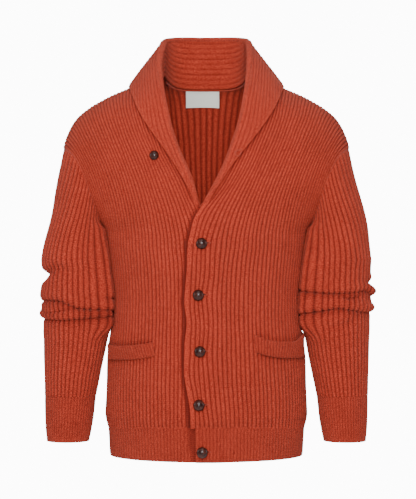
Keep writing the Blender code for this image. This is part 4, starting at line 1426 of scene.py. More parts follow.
LEFT_FOLDS = (
    Fold(0.006, 0.001, (
        (0, -0.36, 0.005, 0.002), (25, -0.36, 0.003, 0.001), (60, -0.356, 0, 0),
        (300, -0.358, 0, 0), (335, -0.359, 0.004, 0.001),
    )),
    Fold(0.005, 0.0046, (
        (0, -0.384, 0.002, 0.01), (20, -0.379, 0.004, 0.008), (38, -0.372, 0.005, 0.0045),
        (70, -0.3755, 0.0055, 0.0028), (112, -0.376, 0.006, 0.0024), (140, -0.3725, 0.007, 0.002),
        (180, -0.37, 0.009, 0.002), (225, -0.374, 0.005, 0.002), (270, -0.38, 0.005, 0.0026),
        (320, -0.383, 0.003, 0.007),
    )),
    Fold(0.0034, 0.0028, (
        (45, -0.383, 0, 0), (60, -0.385, 0.004, 0.0016), (75, -0.387, 0.0045, 0.0016),
        (95, -0.38, 0, 0),
    )),
    Fold(0.005, 0.0048, (
        (0, -0.413, 0.003, 0.0075), (44, -0.41, 0.006, 0.004), (66, -0.407, 0.0065, 0.0026),
        (93, -0.4035, 0.0065, 0.0026), (112, -0.407, 0.0065, 0.003), (140, -0.414, 0.007, 0.003),
        (180, -0.419, 0.008, 0.003), (230, -0.412, 0.005, 0.0026), (280, -0.408, 0.005, 0.003),
        (325, -0.412, 0.004, 0.006),
    )),
    Fold(0.0075, 0.0008, shade=0.25, rows=(
        (50, -0.427, 0, 0), (66, -0.429, 0.0024, 0.0012), (79, -0.436, 0.0026, 0.0012),
        (96, -0.4395, 0.0026, 0.001), (125, -0.4395, 0, 0), (240, -0.438, 0, 0),
        (275, -0.436, 0.0022, 0.0008), (310, -0.432, 0, 0),
    )),
)
RIGHT_FOLDS = (
    Fold(0.0095, 0, shade=0.25, rows=(
        (0, -0.348, 0.0175, 0), (20, -0.3465, 0.013, 0), (45, -0.338, 0.0062, 0.0006),
        (66, -0.333, 0.0042, 0.001), (88, -0.344, 0.0022, 0.0006), (120, -0.36, 0, 0),
        (240, -0.35, 0, 0), (285, -0.342, 0.0034, 0.0006), (325, -0.346, 0.01, 0),
    )),
    Fold(0.005, 0.005, (
        (0, -0.3915, 0.0095, 0.0018), (30, -0.389, 0.008, 0.0024), (64, -0.39, 0.006, 0.0026),
        (77, -0.3945, 0.006, 0.0026), (98, -0.403, 0.0065, 0.0026), (137, -0.4065, 0.007, 0.003),
        (180, -0.4085, 0.008, 0.003), (225, -0.404, 0.005, 0.0026), (270, -0.396, 0.005, 0.0026),
        (320, -0.3915, 0.007, 0.0022),
    )),
    Fold(0.003, 0.0022, (
        (0, -0.405, 0, 0), (24, -0.413, 0.0026, 0), (45, -0.414, 0.0034, 0),
        (64, -0.4105, 0.0034, 0), (90, -0.4075, 0.002, 0), (112, -0.407, 0, 0),
    )),
    Fold(0.005, 0.0044, (
        (0, -0.4245, 0.003, 0.0062), (24, -0.425, 0.0045, 0.0046), (64, -0.426, 0.005, 0.0034),
        (98, -0.4235, 0.005, 0.0034), (137, -0.42, 0.0055, 0.0034), (170, -0.4125, 0.008, 0.003),
        (220, -0.4185, 0.005, 0.003), (270, -0.424, 0.0045, 0.003), (320, -0.426, 0.004, 0.0046),
    )),
    Fold(0.0035, 0.003, (
        (120, -0.386, 0, 0), (150, -0.387, 0.006, 0.001), (172, -0.384, 0.009, 0.001),
        (195, -0.383, 0, 0),
    )),
)


@dataclass
class Sleeve:
    """A ribbed tube from the armhole to the cuff, with the folds of the bent elbow."""

    side: Side
    ribs: int = 40
    upper_rows: int = 26
    fold_rows: int = 74
    lower_rows: int = 18
    fold_end: float = -0.462
    flat: FlatCut = FlatCut(0.44, 0.50, 0.80)
    leaving: Triple = (0.14, 0.06, 0.22)
    arriving: Pair = (0.12, 0.10)
    against_body: float = 0.0028
    lean: float = 0.95
    lean_rows: float = 7.0
    lean_inside: Pair = (0.190, 0.222)
    lean_start: Pair = (0.235, 0.262)
    lean_end: Pair = (0.434, 0.470)
    lean_depth: Pair = (0.030, 0.062)
    columns: Columns = ("height", "left_outer", "right_outer", "inner", "front", "back")
    table: Table = (
        (-0.318, 0.305, 0.3045, 0.1825, 0.065, 0.069),
        (-0.345, 0.303, 0.3035, 0.1805, 0.064, 0.068),
        (-0.373, 0.304, 0.3055, 0.178, 0.064, 0.067),
        (-0.4, 0.3035, 0.3045, 0.177, 0.063, 0.065),
        (-0.422, 0.3015, 0.3015, 0.178, 0.061, 0.062),
        (-0.445, 0.301, 0.3005, 0.1805, 0.059, 0.059),
        (-0.567, 0.297, 0.297, 0.204, 0.053, 0.037),
    )

    def __post_init__(self) -> None:
        """Works out the curves."""
        left = self.side is Side.LEFT
        self.curves = tracks(self.columns, self.table)
        self.folds = LEFT_FOLDS if left else RIGHT_FOLDS
        self.swell = 0.0045 if left else -0.0060

    def _ring(self, height: float) -> Array:
        """One ring from the outer side over the front and round the back, finely sampled."""
        names = (f"{self.side.word}_outer", "inner", "front", "back")
        return oval_ring(*(float(self.curves[name](height)) for name in names), height)

    def _armhole(self, columns: int) -> Array:
        """The top ring on the body's seam, from the shoulder down the front and up the back.

        Args:
            columns: how many points.

        Returns:
            The points.
        """
        t = np.linspace(0.0, 1.0, 121)
        front = TORSO.armhole_points(Facing.FRONT, t)[::-1]
        back = TORSO.armhole_points(Facing.BACK, t)[1:]
        return resample(np.concatenate([front, back]), np.arange(columns) / columns)

    def _upper(self, seam: Array, first: Array, shares: Array) -> list[Array]:
        """Rings from the armhole to the first ring below it.

        Args:
            seam: the ring on the armhole.
            first: the first ring.
            shares: shares of the way round.

        Returns:
            The rings, armhole first.
        """
        span = np.linalg.norm(first - seam, axis=1)[:, None]
        around = 2 * math.pi * shares
        outwards, swing, spread = self.leaving
        down = -np.ones_like(around)
        leave = np.stack([outwards + swing * np.cos(around), -spread * np.sin(around), down], axis=1)
        swing, spread = self.arriving
        arrive = np.stack([swing * np.cos(around), -spread * np.sin(around), down], axis=1)
        outer = np.clip(np.cos(around), 0.0, 1.0) ** 1.5
        rows = []
        for t in np.linspace(0.0, 1.0, self.upper_rows)[:-1]:
            start = seam * (1 + 2 * t) * (1 - t) ** 2 + leave * span * t * (1 - t) ** 2
            end = first * (3 - 2 * t) * t**2 - arrive * span * t**2 * (1 - t)
            row = start + end
            row[:, 0] += self.swell * outer * math.sin(math.pi * t) ** 2 * smoothstep(t, 0.15, 0.75)
            rows.append(row)
        return rows

    def _lean_on_body(self, grid: Array) -> Array:
        """Draws the inner side in to lie just off the body, down to where the forearm swings clear.

        Args:
            grid: points by row and column.

        Returns:
            The same grid, changed.
        """
        x, y, z = grid[..., 0], grid[..., 1], grid[..., 2]
        away = x - TORSO.side_at(y, z)
        inner = 1.0 - smoothstep(x, *self.lean_inside)
        below = smoothstep(np.arange(len(grid)), 0.0, self.lean_rows)[:, None]
        level = below * smoothstep(-z, *self.lean_start) * (1.0 - smoothstep(-z, *self.lean_end))
        near = 1.0 - smoothstep(np.abs(y), *self.lean_depth)
        grid[..., 0] = x - (away - self.against_body) * self.lean * inner * level * near
        return grid

    def _fold(self, grid: Array, outward: Array) -> tuple[Array, Array]:
        """The grid with its folds, and the painted shade in and under their creases.

        Args:
            grid: points by row and column.
            outward: outward directions.

        Returns:
            Both, by row and column.
        """
        turn = np.broadcast_to(np.arange(grid.shape[1]) * 360.0 / grid.shape[1], grid.shape[:2])
        calm = 1.0 - 0.8 * smoothstep(-np.cos(np.radians(turn)), 0.55, 0.95)
        moved = grid.copy()
        painted_fold_shade = np.zeros(grid.shape[:2])
        for fold in self.folds:
            out, down, shade = fold.move(turn, grid[..., 2])
            painted_fold_shade = np.maximum(painted_fold_shade, shade)
            out = np.where(out > 0, out * calm, out)
            moved += outward * out[..., None]
            moved[..., 2] -= down
        return moved, painted_fold_shade

    def build(self, finishes: Finishes) -> Object:
        """Makes the sleeve.

        Args:
            finishes: the cardigan's finishes.

        Returns:
            The piece.
        """
        columns = self.ribs * RIBS.columns
        shares = np.arange(columns) / columns
        top, end = self.table[0][0], self.table[-1][0]
        heights = np.concatenate([
            np.linspace(top, self.fold_end, self.fold_rows)[:-1],
            np.linspace(self.fold_end, end, self.lower_rows),
        ])
        rings = [resample(self._ring(float(h)), shares) for h in heights]
        rows = self._upper(self._armhole(columns), rings[0], shares)
        grid = self._lean_on_body(np.array([*rows, *rings]))[::-1]
        outward = -grid_normals(grid, closed=True)
        grid, painted_fold_shade = self._fold(grid, outward)
        outward = -grid_normals(grid, closed=True)
        ribs = np.linspace(0.0, self.ribs, columns, endpoint=False)
        fade = seam_fade(grid, reach=0.003, sides=False)
        flip = self.side.flip
        name, seed = f"sleeve_tube_{self.side.word}", 51 + 10 * (self.side is Side.LEFT)
        # painted shade: the rib valleys, and the creases of the folds
        relief, shade = RIBS.relief(ribs) * fade, np.clip(RIBS.shade(ribs) * fade + painted_fold_shade, 0.0, DEEPEST_SHADE)
        cloth = Cloth(name, grid * flip, outward * flip, relief, ribs, shade, closed=True, seed=seed)
        obj = cloth.build(finishes.rib, Slot.WOOL, [f"sleeve_{self.side.word}"])
        self.flat.declare(obj, [f"front_panel_{self.side.word}"])
        return obj


def oval_ring(outer: float, inner: float, front: float, back: float, height: float) -> Array:
    """An oval ring between four extents.

    Args:
        outer: reach outwards.
        inner: reach of the inner side.
        front: reach forwards.
        back: reach backwards.
        height: height of the ring.

    Returns:
        Points from the outer side over the front.
    """
    angle = np.linspace(0.0, 2 * math.pi, 721)
    x = (outer + inner) / 2 + (outer - inner) / 2 * np.cos(angle)
    y = (back - front) / 2 - (front + back) / 2 * np.sin(angle)
    return np.stack([x, y, np.full_like(x, height)], axis=1)


@dataclass(frozen=True)
class WeltRibs:
    """Fine ribs along rows of a welt, drawn flat and sunk a little at its ends."""

    ribs: int
    top: bool = True
    closed: bool = False
    height: float = 1.0
    # depth: how strong the painted shade in the rib valleys is
    depth: float = 1.0
    sink: float = 0.0010

    def _ends(self, rows: int) -> Array:
        """1 over a welt and less on its rounded ends, of which a cuff's top is none."""
        t = np.linspace(0.0, 1.0 if self.top else 0.5, rows)
        return np.clip(np.sin(math.pi * np.clip(t, 0.02, 0.98)) * 4.0, 0.0, 1.0)[:, None] ** 0.5

    def lay(self, rows: Sequence[Array], lift: float = 0.0) -> tuple[Array, ...]:
        """Points, directions, relief, rib coordinates and shade for a shell.

        Args:
            rows: the rows, finely sampled.
            lift: how far it is moved out.

        Returns:
            These five, in this order.
        """
        columns = self.ribs * FINE_RIBS.columns + (not self.closed)
        shares, counted = (np.linspace(0.0, k, columns, endpoint=not self.closed) for k in (1.0, self.ribs))
        grid = np.array([resample(row, shares) for row in rows])
        grid[:, :, 1] += lift
        outward = grid_normals(grid, self.closed) * (-1.0 if self.closed else 1.0)
        ends = self._ends(len(rows))
        relief = self.height * FINE_RIBS.relief(counted)[None] * ends - self.sink * (1 - ends)
        return grid, outward, relief, counted, self.depth * FINE_RIBS.shade(counted)[None] * ends


@dataclass
class Cuff:
    """A fine-ribbed cuff."""

    side: Side
    top: float = -0.567
    bottom: float = -0.651
    gap: float = 0.0002
    pitch: float = 0.0052
    flat: FlatCut = FlatCut(0.27, 0.084)
    rows: int = 16
    upper: tuple[float, float, float, float] = (0.2970, 0.2040, 0.0530, 0.0370)
    mouth: tuple[float, float, float, float] = (0.2940, 0.2155, 0.0500, 0.0240)

    def _ring(self, height: float) -> Array:
        """One ring of the cuff.

        Args:
            height: height of the ring.

        Returns:
            The points.
        """
        share = (self.top - height) / (self.top - self.bottom)
        swell = 0.0012 * math.sin(math.pi * min(1.0, share * 1.15))
        outer, inner, front, back = (a + (b - a) * share for a, b in zip(self.upper, self.mouth))
        return oval_ring(outer + swell, inner - swell, front + swell, back + swell, height)

    def build(self, finishes: Finishes) -> Object:
        """Makes the cuff.

        Args:
            finishes: the cardigan's finishes.

        Returns:
            The piece.
        """
        around = run_along(self._ring((self.top + self.bottom) / 2))[-1]
        rings = [self._ring(float(h)) for h in np.linspace(self.bottom, self.top - self.gap, self.rows)]
        grid, outward, *dress = WeltRibs(round(around / self.pitch), top=False, closed=True).lay(rings)
        flip = self.side.flip
        cloth = Cloth(f"cuff_welt_{self.side.word}", grid * flip, outward * flip, *dress, closed=True)
        obj = cloth.build(finishes.welt, Slot.WELT, [f"cuff_{self.side.word}"])
        self.flat.declare(obj, [f"sleeve_tube_{self.side.word}"])
        return obj


@dataclass
class HemWelt:
    """One stretch of the fine-ribbed hem."""

    name: str
    node: str
    facing: Facing
    start: float
    end: float
    tuck: float = 0.0028
    lap: float = 0.0003
    under_shade: float = 1.3
    under_reach: Pair = (0.0015, 0.0090)
    flat_depth: float = 0.066
    pitch: float = 0.0062
    rows: int = 14

    def build(self, finishes: Finishes, left: FrontPanel) -> Object:
        """Makes the stretch of hem.

        Args:
            finishes: the cardigan's finishes.
            left: the wearer's left front.

        Returns:
            The piece.
        """
        share = np.sin(np.linspace(self.start, self.end, 361))
        top = TORSO.hem_height(share) + self.tuck
        rows = []
        for t in np.linspace(0.0, 1.0, self.rows):
            row = TORSO.hem_point(share, TORSO.hem_bottom + (top - TORSO.hem_bottom) * t, self.facing)
            if self.node == "hem_left":
                near = 1.0 - smoothstep(row[:, 0], *left.overlap_reach)
                row[:, 1] -= left.overlap_lift * near
            if self.facing is Facing.BACK:
                row = row[::-1]
            rows.append(row)
        around = float(run_along(rows[0])[-1])
        ribs = WeltRibs(round(around / self.pitch))
        grid, outward, relief, counted, shade = ribs.lay(rows, self.facing.value * self.lap)
        # painted shadow of the top front's edge on the under hem
        if self.node == "hem_right":
            away = left.edge(grid[..., 2]) - grid[..., 0]
            shade = np.maximum(shade, self.under_shade * (1.0 - smoothstep(away, *self.under_reach)))
        cloth = Cloth(self.name, grid, outward, relief, counted, shade, seed=91)
        obj = cloth.build(finishes.welt, Slot.WELT, [self.node])
        FlatCut(round(around, 3), self.flat_depth).declare(obj, ["back_panel"])
        return obj


@dataclass
class PocketWelt:
    """A pocket's fine-ribbed welt, standing off the front and gaping a little at its mouth."""

    front: FrontPanel
    pitch: float = 0.0058
    flat: FlatCut = FlatCut(0.125, 0.030)
    rows: int = 10
    stand_off: float = 0.0042
    gape: float = 0.0038
    slants: ClassVar[dict[Side, float]] = {Side.LEFT: -0.0029, Side.RIGHT: 0.0067}

    def build(self, finishes: Finishes) -> Object:
        """Makes the welt.

        Args:
            finishes: the cardigan's finishes.

        Returns:
            The piece.
        """
        front = self.front
        start, end = front.welt_span
        slant = self.slants[front.side]
        rows = []
        for t in np.linspace(0.0, 1.0, self.rows):
            first = start + slant * (t - 0.5)
            x = first + (end - first) * np.sin(np.linspace(0.0, math.pi / 2, 121))
            ends = smoothstep(x, first, first + 0.014) * smoothstep(end - x, 0.0, 0.006)
            z = front.welt_bottom(x) * (1 - t) + front.welt_top(x) * t
            near = np.minimum(x, TORSO.half_width(z) * 0.985)
            out = self.stand_off * (0.55 + 0.45 * ends) + self.gape * t**1.5 * (0.2 + 0.8 * ends)
            place = TORSO.on_body(near, z, Facing.FRONT)
            rows.append(place + TORSO.normal(near, z, Facing.FRONT) * np.asarray(out)[:, None])
        ribs = WeltRibs(round(run_along(rows[0])[-1] / self.pitch), height=1.1, depth=1.5, sink=0.0009)
        grid, outward, relief, counted, shade = ribs.lay(rows)
        flip = front.side.flip
        name, shade = f"pocket_edge_{front.side.word}", np.clip(shade, 0.0, 1.2)
        firm = {"thickness": 0.0028, "crisp": False}
        cloth = Cloth(name, grid * flip, outward * flip, relief, counted, shade, **firm)
        obj = cloth.build(finishes.welt, Slot.WELT, [f"pocket_welt_{front.side.word}"])
        self.flat.declare(obj, [f"front_panel_{front.side.word}"])
        return obj


def collar_edge(side: Side) -> Track:
    """How far out the collar's free edge lies over a front, by height.

    Args:
        side: the wearer's side.

    Returns:
        Distance from the middle, by height.
    """
    rows = [dict(zip(ShawlCollar.columns, row)) for row in ShawlCollar.table]
    rows = [row for row in rows if row["roll_y"] < -0.03]
    outs = [row["edge_x"] - side.value * row["edge_lean"] for row in rows]
    return Track([row["edge_z"] for row in rows], outs)


@dataclass
class ShawlCollar:
    """The folded band from the V over the back neck to the V, ribbed along its length."""

    left: FrontPanel
    right: FrontPanel
    stations: int = 110
    stand_ribs: int = 9
    fold_ribs: int = 1
    fall_ribs: int = 13
    rib_columns: int = 5
    stand_pitch: float = 0.0098
    fall_pitch: float = 0.0076
    wall: float = 0.0030
    rib: float = 0.0008
    fold: float = 0.0032
    least_fold: float = 0.0010
    foot_gap: float = 0.0008
    foot_lap: float = 0.0034
    least_stand: float = 0.0010
    back_rest: float = 0.0054
    front_rest: float = 0.0042
    smooth_passes: int = 14
    bow: float = 0.0015
    end_stations: float = 7.0
    end_sink: float = 0.0045
    seam_turn: Pair = (2.7, 3.6)
    edge_turn: Pair = (2.85, 4.0)
    full_bow: float = 0.06
    full_depth: float = 0.040
    edge_reach: float = 0.9
    direction_passes: int = 3
    fall_count: float = 100.0
    flat: FlatCut = FlatCut(0.19, 1.02, 0.70)
    columns: Columns = (
        "roll_x", "roll_y", "roll_z", "seam_x", "seam_z", "edge_x", "edge_z", "roll_lean", "edge_lean",
    )
    table: Table = (
        (0.0, 0.087, 0.1045, 0.0, 0.007, 0.0, 0.002, 0.0, 0.0),
        (0.044, 0.082, 0.1048, 0.04, 0.011, 0.058, -0.003, 0.0, 0.0),
        (0.0735, 0.06, 0.1, 0.068, 0.02, 0.11, -0.006, 0.0003, 0.0),
        (0.078, 0.022, 0.0855, 0.08, 0.025, 0.14, 0.003, 0.0013, 0.0),
        (0.0795, -0.018, 0.061, 0.083, 0.014, 0.1385, -0.01, 0.004, 0.0),
        (0.0755, -0.05, 0.026, 0.088, -0.0128, 0.13, -0.03, 0.004, 0.0),
        (0.0705, -0.081, -0.014, 0.086, -0.038, 0.118, -0.055, 0.0037, 0.001),
        (0.0595, -0.103, -0.071, 0.075, -0.0632, 0.0985, -0.085, 0.0032, 0.002),
        (0.0455, -0.1165, -0.117, 0.052, -0.1262, 0.0735, -0.118, 0.0035, 0.003),
        (0.0305, -0.1245, -0.15, 0.035, -0.155, 0.0505, -0.149, 0.0025, 0.005),
        (0.018, -0.129, -0.177, 0.022, -0.182, 0.0335, -0.176, 0.0037, 0.006),
        (0.008, -0.132, -0.202, 0.01, -0.204, 0.019, -0.201, 0.0073, 0.007),
        (0.0005, -0.1345, -0.223, 0.0005, -0.224, 0.012, -0.221, 0.011, 0.009),
    )

    def _half(self, front: FrontPanel) -> tuple[Array, Array, Array]:
        """Roll, seam and free edge of half the collar at +X, from the middle of the back to the V.

        Args:
            front: the front on that side.

        Returns:
            Three lines of points.
        """
        places = np.linspace(0.0, len(self.table) - 1, self.stations + 1)
        values = catmull(np.array(self.table), places)
        roll_x, roll_y, roll_z, seam_x, seam_z, edge_x, edge_z, roll_lean, edge_lean = values.T
        lean = -front.side.value
        roll = np.stack([roll_x + lean * roll_lean, roll_y, roll_z], axis=1)
        edge_x = edge_x + lean * edge_lean
        near = np.minimum(seam_x, TORSO.neck_half)
        back_seam = TORSO.on_body(near, TORSO.back_top(near), Facing.BACK)
        front_seam = front.point(front.edge(seam_z), seam_z)
        share = smoothstep(places, *self.seam_turn)[:, None]
        seam = back_seam * (1 - share) + front_seam * share
        roll[:, 1] -= front.lift(roll[:, 0], roll[:, 2])
        back_edge = TORSO.on_body(edge_x, edge_z, Facing.BACK, self.back_rest)
        front_edge = TORSO.on_body(edge_x, edge_z, Facing.FRONT, self.front_rest)
        front_edge[:, 1] -= front.lift(edge_x, edge_z)
        share = smoothstep(places, *self.edge_turn)[:, None]
        return roll, seam, back_edge * (1 - share) + front_edge * share

    def _all_round(self) -> list[Array]:
        """Roll, seam and free edge from the wearer's left V round to the right V.

        Returns:
            Three lines of points.
        """
        left = [part[::-1] for part in self._half(self.left)]
        right = [part * (-1.0, 1.0, 1.0) for part in self._half(self.right)]
        lines = []
        for a, b in zip(left, right):
            line = np.concatenate([a[:-1], (a[-1:] + b[:1]) / 2, b[1:]])
            for _ in range(self.smooth_passes):
                line[1:-1] = line[1:-1] * 0.5 + (line[:-2] + line[2:]) * 0.25
            lines.append(line)
        return lines

    def _section(self, roll: Array, seam: Array, edge: Array, along: Array) -> tuple[Array, Array, Array]:
        """One section of the outer face, seam to free edge: its points, directions and rib coordinates.

        Args:
            roll: point on the roll.
            seam: point on the seam.
            edge: point on the free edge.
            along: direction along the collar.

        Returns:
            Three arrays, a value for each point.
        """
        rise = roll - seam
        rise = rise - along * (rise @ along)
        spare = np.linalg.norm(rise) - self.wall - self.rib - self.foot_gap - self.least_stand
        radius = float(np.clip(spare, self.least_fold, self.fold))
        rise = unit(rise)
        out = unit(np.cross(along, rise))
        centre = roll - rise * (radius + self.wall + self.rib) + out * radius
        stand_top = centre - out * radius
        fall_top = centre + out * radius
        foot = seam - rise * self.foot_lap
        fall_out = unit(np.cross(unit(edge - fall_top), along))
        stand_out = unit(np.cross(unit(stand_top - foot), along))
        points, directions, ribs = [], [], []
        bow = self.bow * min(1.0, float(np.linalg.norm(edge - fall_top)) / self.full_bow)
        for part, count in enumerate((self.stand_ribs, self.fold_ribs, self.fall_ribs)):
            steps = count * self.rib_columns
            for i in range(steps + (part == 2)):
                t = i / steps
                if part == 0:
                    point, direction = foot + (stand_top - foot) * t, stand_out
                elif part == 1:
                    turn = math.pi * t
                    direction = -out * math.cos(turn) + rise * math.sin(turn)
                    point = centre + direction * radius
                else:
                    direction = fall_out
                    point = fall_top + (edge - fall_top) * t
                    point = point + direction * bow * math.sin(math.pi * min(1.0, t * 1.1))
                points.append(point)
                directions.append(direction)
                ribs.append((part, t))
        parts, shares = np.array(ribs).T
        stand = float(np.linalg.norm(stand_top - foot)) / self.stand_pitch
        fall = float(np.linalg.norm(edge - fall_top)) / self.fall_pitch
        on_fall = self.fall_count + 0.5 + fall * shares
        across = np.where(parts == 0, stand * shares, np.where(parts == 1, 0.5, on_fall))
        return np.array(points), np.array(directions), across

    def build(self, finishes: Finishes) -> Object:
        """Makes the collar.

        Args:
            finishes: the cardigan's finishes.

        Returns:
            The piece.
        """
        roll, seam, edge = self._all_round()
        along = unit(np.gradient(roll, axis=0))
        sections = [self._section(*station) for station in zip(roll, seam, edge, along)]
        points, directions, ribs = (np.array(part) for part in zip(*sections))
        for _ in range(self.direction_passes):
            directions[:, 1:-1] = directions[:, 1:-1] + directions[:, :-2] + directions[:, 2:]
            directions = unit(directions)
        width = np.array([run_along(row)[-1] for row in points])
        depth = np.clip(width / self.full_depth, 0.15, 1.0)[:, None]
        to_edge = ribs[:, -1:] - ribs
        edge_roll = np.where(ribs < self.fall_count, 1.0, smoothstep(to_edge, 0.0, self.edge_reach))
        relief = RIBS.relief(ribs) * depth * edge_roll - self.rib * (1 - edge_roll)
        shade = RIBS.shade(ribs) * depth * edge_roll
        face = points + directions * self.wall
        station = np.arange(len(face))
        sink = 1.0 - smoothstep(np.minimum(station, station[::-1]), 0.0, self.end_stations)
        face[:, :, 1] += self.end_sink * sink[:, None]
        firm = {"thickness": self.wall, "crisp": False, "wander": 0.0001, "vary": 0.08, "swell": 0.0001}
        cloth = Cloth("collar_band", face, directions, relief, ribs, shade, seed=81, **firm)
        obj = cloth.build(finishes.rib, Slot.WOOL, ["collar"])
        self.flat.declare(obj)
        return obj


# --- sewing, label and buttons


@dataclass
class ThreadLine:
    """A raised line of linking or stitching along a path."""

    name: str
    path: Array
    radius: float
    ring: int = 8
    closed: bool = False
    pulse: float = 0.0
    pitch: float = 0.004

    def build(self, material: Material) -> Object:
        """Makes the line as a round thread.

        Args:
            material: its finish.

        Returns:
            The piece.
        """
        path = self.path
        ahead = np.gradient(path, axis=0)
        if self.closed:
            ahead = np.roll(path, -1, axis=0) - np.roll(path, 1, axis=0)
        ahead = unit(ahead)
        side = unit(np.cross(ahead, np.array([0.17, 0.93, 0.31])))
        up = np.cross(side, ahead)
        run = run_along(path)
        size = self.radius * (1.0 + self.pulse * np.cos(2 * np.pi * run / self.pitch))
        if not self.closed:
            size = size * np.sqrt(np.clip(np.minimum(run, run[-1] - run) / (2 * self.radius), 0.05, 1.0))
        turn = np.linspace(0.0, 2 * math.pi, self.ring, endpoint=False)
        ring = side[:, None] * np.cos(turn)[None, :, None] + up[:, None] * np.sin(turn)[None, :, None]
        surface = path[:, None] + ring * size[:, None, None]
        if self.closed:
            surface = np.concatenate([surface, surface[:1]])
        rows = surface.shape[0]
        tube = bmesh.new()
        bmesh.ops.create_grid(tube, x_segments=self.ring, y_segments=rows - 1, size=0.5)
        for vert in tube.verts:
            column = round((vert.co.x + 0.5) * self.ring) % self.ring
            row = round((vert.co.y + 0.5) * (rows - 1))
            vert.co = surface[row, column]
        bmesh.ops.remove_doubles(tube, verts=tube.verts, dist=1e-7)
        if not self.closed:
            bmesh.ops.holes_fill(tube, edges=[e for e in tube.edges if e.is_boundary], sides=0)
        bmesh.ops.recalc_face_normals(tube, faces=tube.faces)
        mesh = bpy.data.meshes.new(self.name)
        tube.to_mesh(mesh)
        tube.free()
        return ride(place_object(self.name, mesh, material), Slot.WOOL)


@dataclass
class Seams:
    """Linked seams where the panels join."""

    radius: float = 0.0011
    pulse: float = 0.12
    armhole_inset: float = 0.0004
    side_inset: float = 0.0010
    side_stop: float = 0.004
    shoulder_stops: Pair = (0.004, 0.003)
    shoulder_sink: float = 0.0006
    neck_share: float = 0.96
    neck_radius: float = 0.0015
    neck_drop: float = 0.0022
    neck_inset: float = 0.0034

    def build(self, finishes: Finishes) -> None:
        """Makes the lines at the armholes, side seams, shoulders and back neck.

        Args:
            finishes: the cardigan's finishes.
        """
        t = np.linspace(0.0, 1.0, 150)
        front = TORSO.armhole_points(Facing.FRONT, t)[::-1]
        ring = np.concatenate([front, TORSO.armhole_points(Facing.BACK, t)[1:-1]])
        ring = ring + np.array([-self.armhole_inset, 0.0, self.armhole_inset])
        z = np.linspace(TORSO.blouse, TORSO.underarm + self.side_stop, 90)
        line = np.stack([TORSO.half_width(z) - self.side_inset, np.zeros_like(z), z], axis=1)
        inner, outer = self.shoulder_stops
        distance = np.linspace(TORSO.neck_half + inner, TORSO.shoulder_end - outer, 80)
        height = TORSO.shoulder_height(distance) - self.shoulder_sink
        ridge = np.stack([distance, np.zeros_like(distance), height], axis=1)
        runs = (("armhole", ring, 1.0, True), ("side", line, 0.9, False), ("shoulder", ridge, 1.0, False))
        for side in Side:
            for place, path, size, closed in runs:
                name, path = f"{place}_linking_{side.word}", path * side.flip
                thread = ThreadLine(name, path, self.radius * size, closed=closed, pulse=self.pulse)
                thread.build(finishes.thread)
        x = np.linspace(-TORSO.neck_half, TORSO.neck_half, 90) * self.neck_share
        place = TORSO.on_body(x, TORSO.back_top(x) - self.neck_drop, Facing.BACK, -self.neck_inset)
        ThreadLine("back_neck_linking", place, self.neck_radius, pulse=0.18).build(finishes.thread)


@dataclass
class NeckLabel:
    """The bare woven label inside the back neck, softly curled at its corners."""

    centre: Pair = (-0.0073, -0.0130)
    size: Pair = (0.0630, 0.0327)
    steps: tuple[int, int] = (28, 14)
    stand_off: float = 0.0049

    def build(self, finishes: Finishes) -> Object:
        """Makes the label.

        Args:
            finishes: the cardigan's finishes.

        Returns:
            The piece.
        """
        columns, rows = self.steps
        u = np.linspace(-0.5, 0.5, columns + 1)[None, :]
        v = np.linspace(-0.5, 0.5, rows + 1)[:, None]
        x = self.centre[0] + self.size[0] * u + 0.0 * v
        z = self.centre[1] + self.size[1] * v + 0.0018 * (0.25 - u**2) * 4 * (0.2 - v)
        depth = TORSO.depth_at(x, z, Facing.BACK)
        curl = 0.0016 * (np.abs(u) * 2) ** 4 * (0.5 - v) + 0.0006 * np.sin(u * 9.0) * (0.5 - v)
        points = np.stack([x, depth - self.stand_off - curl, z], axis=-1)
        outward = np.broadcast_to(np.array([0.0, -1.0, 0.0]), points.shape)
        none = np.zeros(points.shape[:2])
        share = np.broadcast_to(u + 0.5, none.shape)
        still = {"wander": 0.0, "swell": 0.0}
        cloth = Cloth("neck_tape_label", points, outward, none, share, none, thickness=0.0006, **still)
        obj = cloth.build(finishes.label, Slot.LABEL, ["neck_label"])
        layer = obj.data.uv_layers[KNIT_UV]
        knit = np.empty(len(layer.data) * 2, np.float32)
        layer.data.foreach_get("uv", knit)
        knit = knit.reshape(-1, 2)
        knit[:, 1] /= max(float(knit[:, 1].max()), 1e-6)
        layer.data.foreach_set("uv", knit.ravel())
        return obj


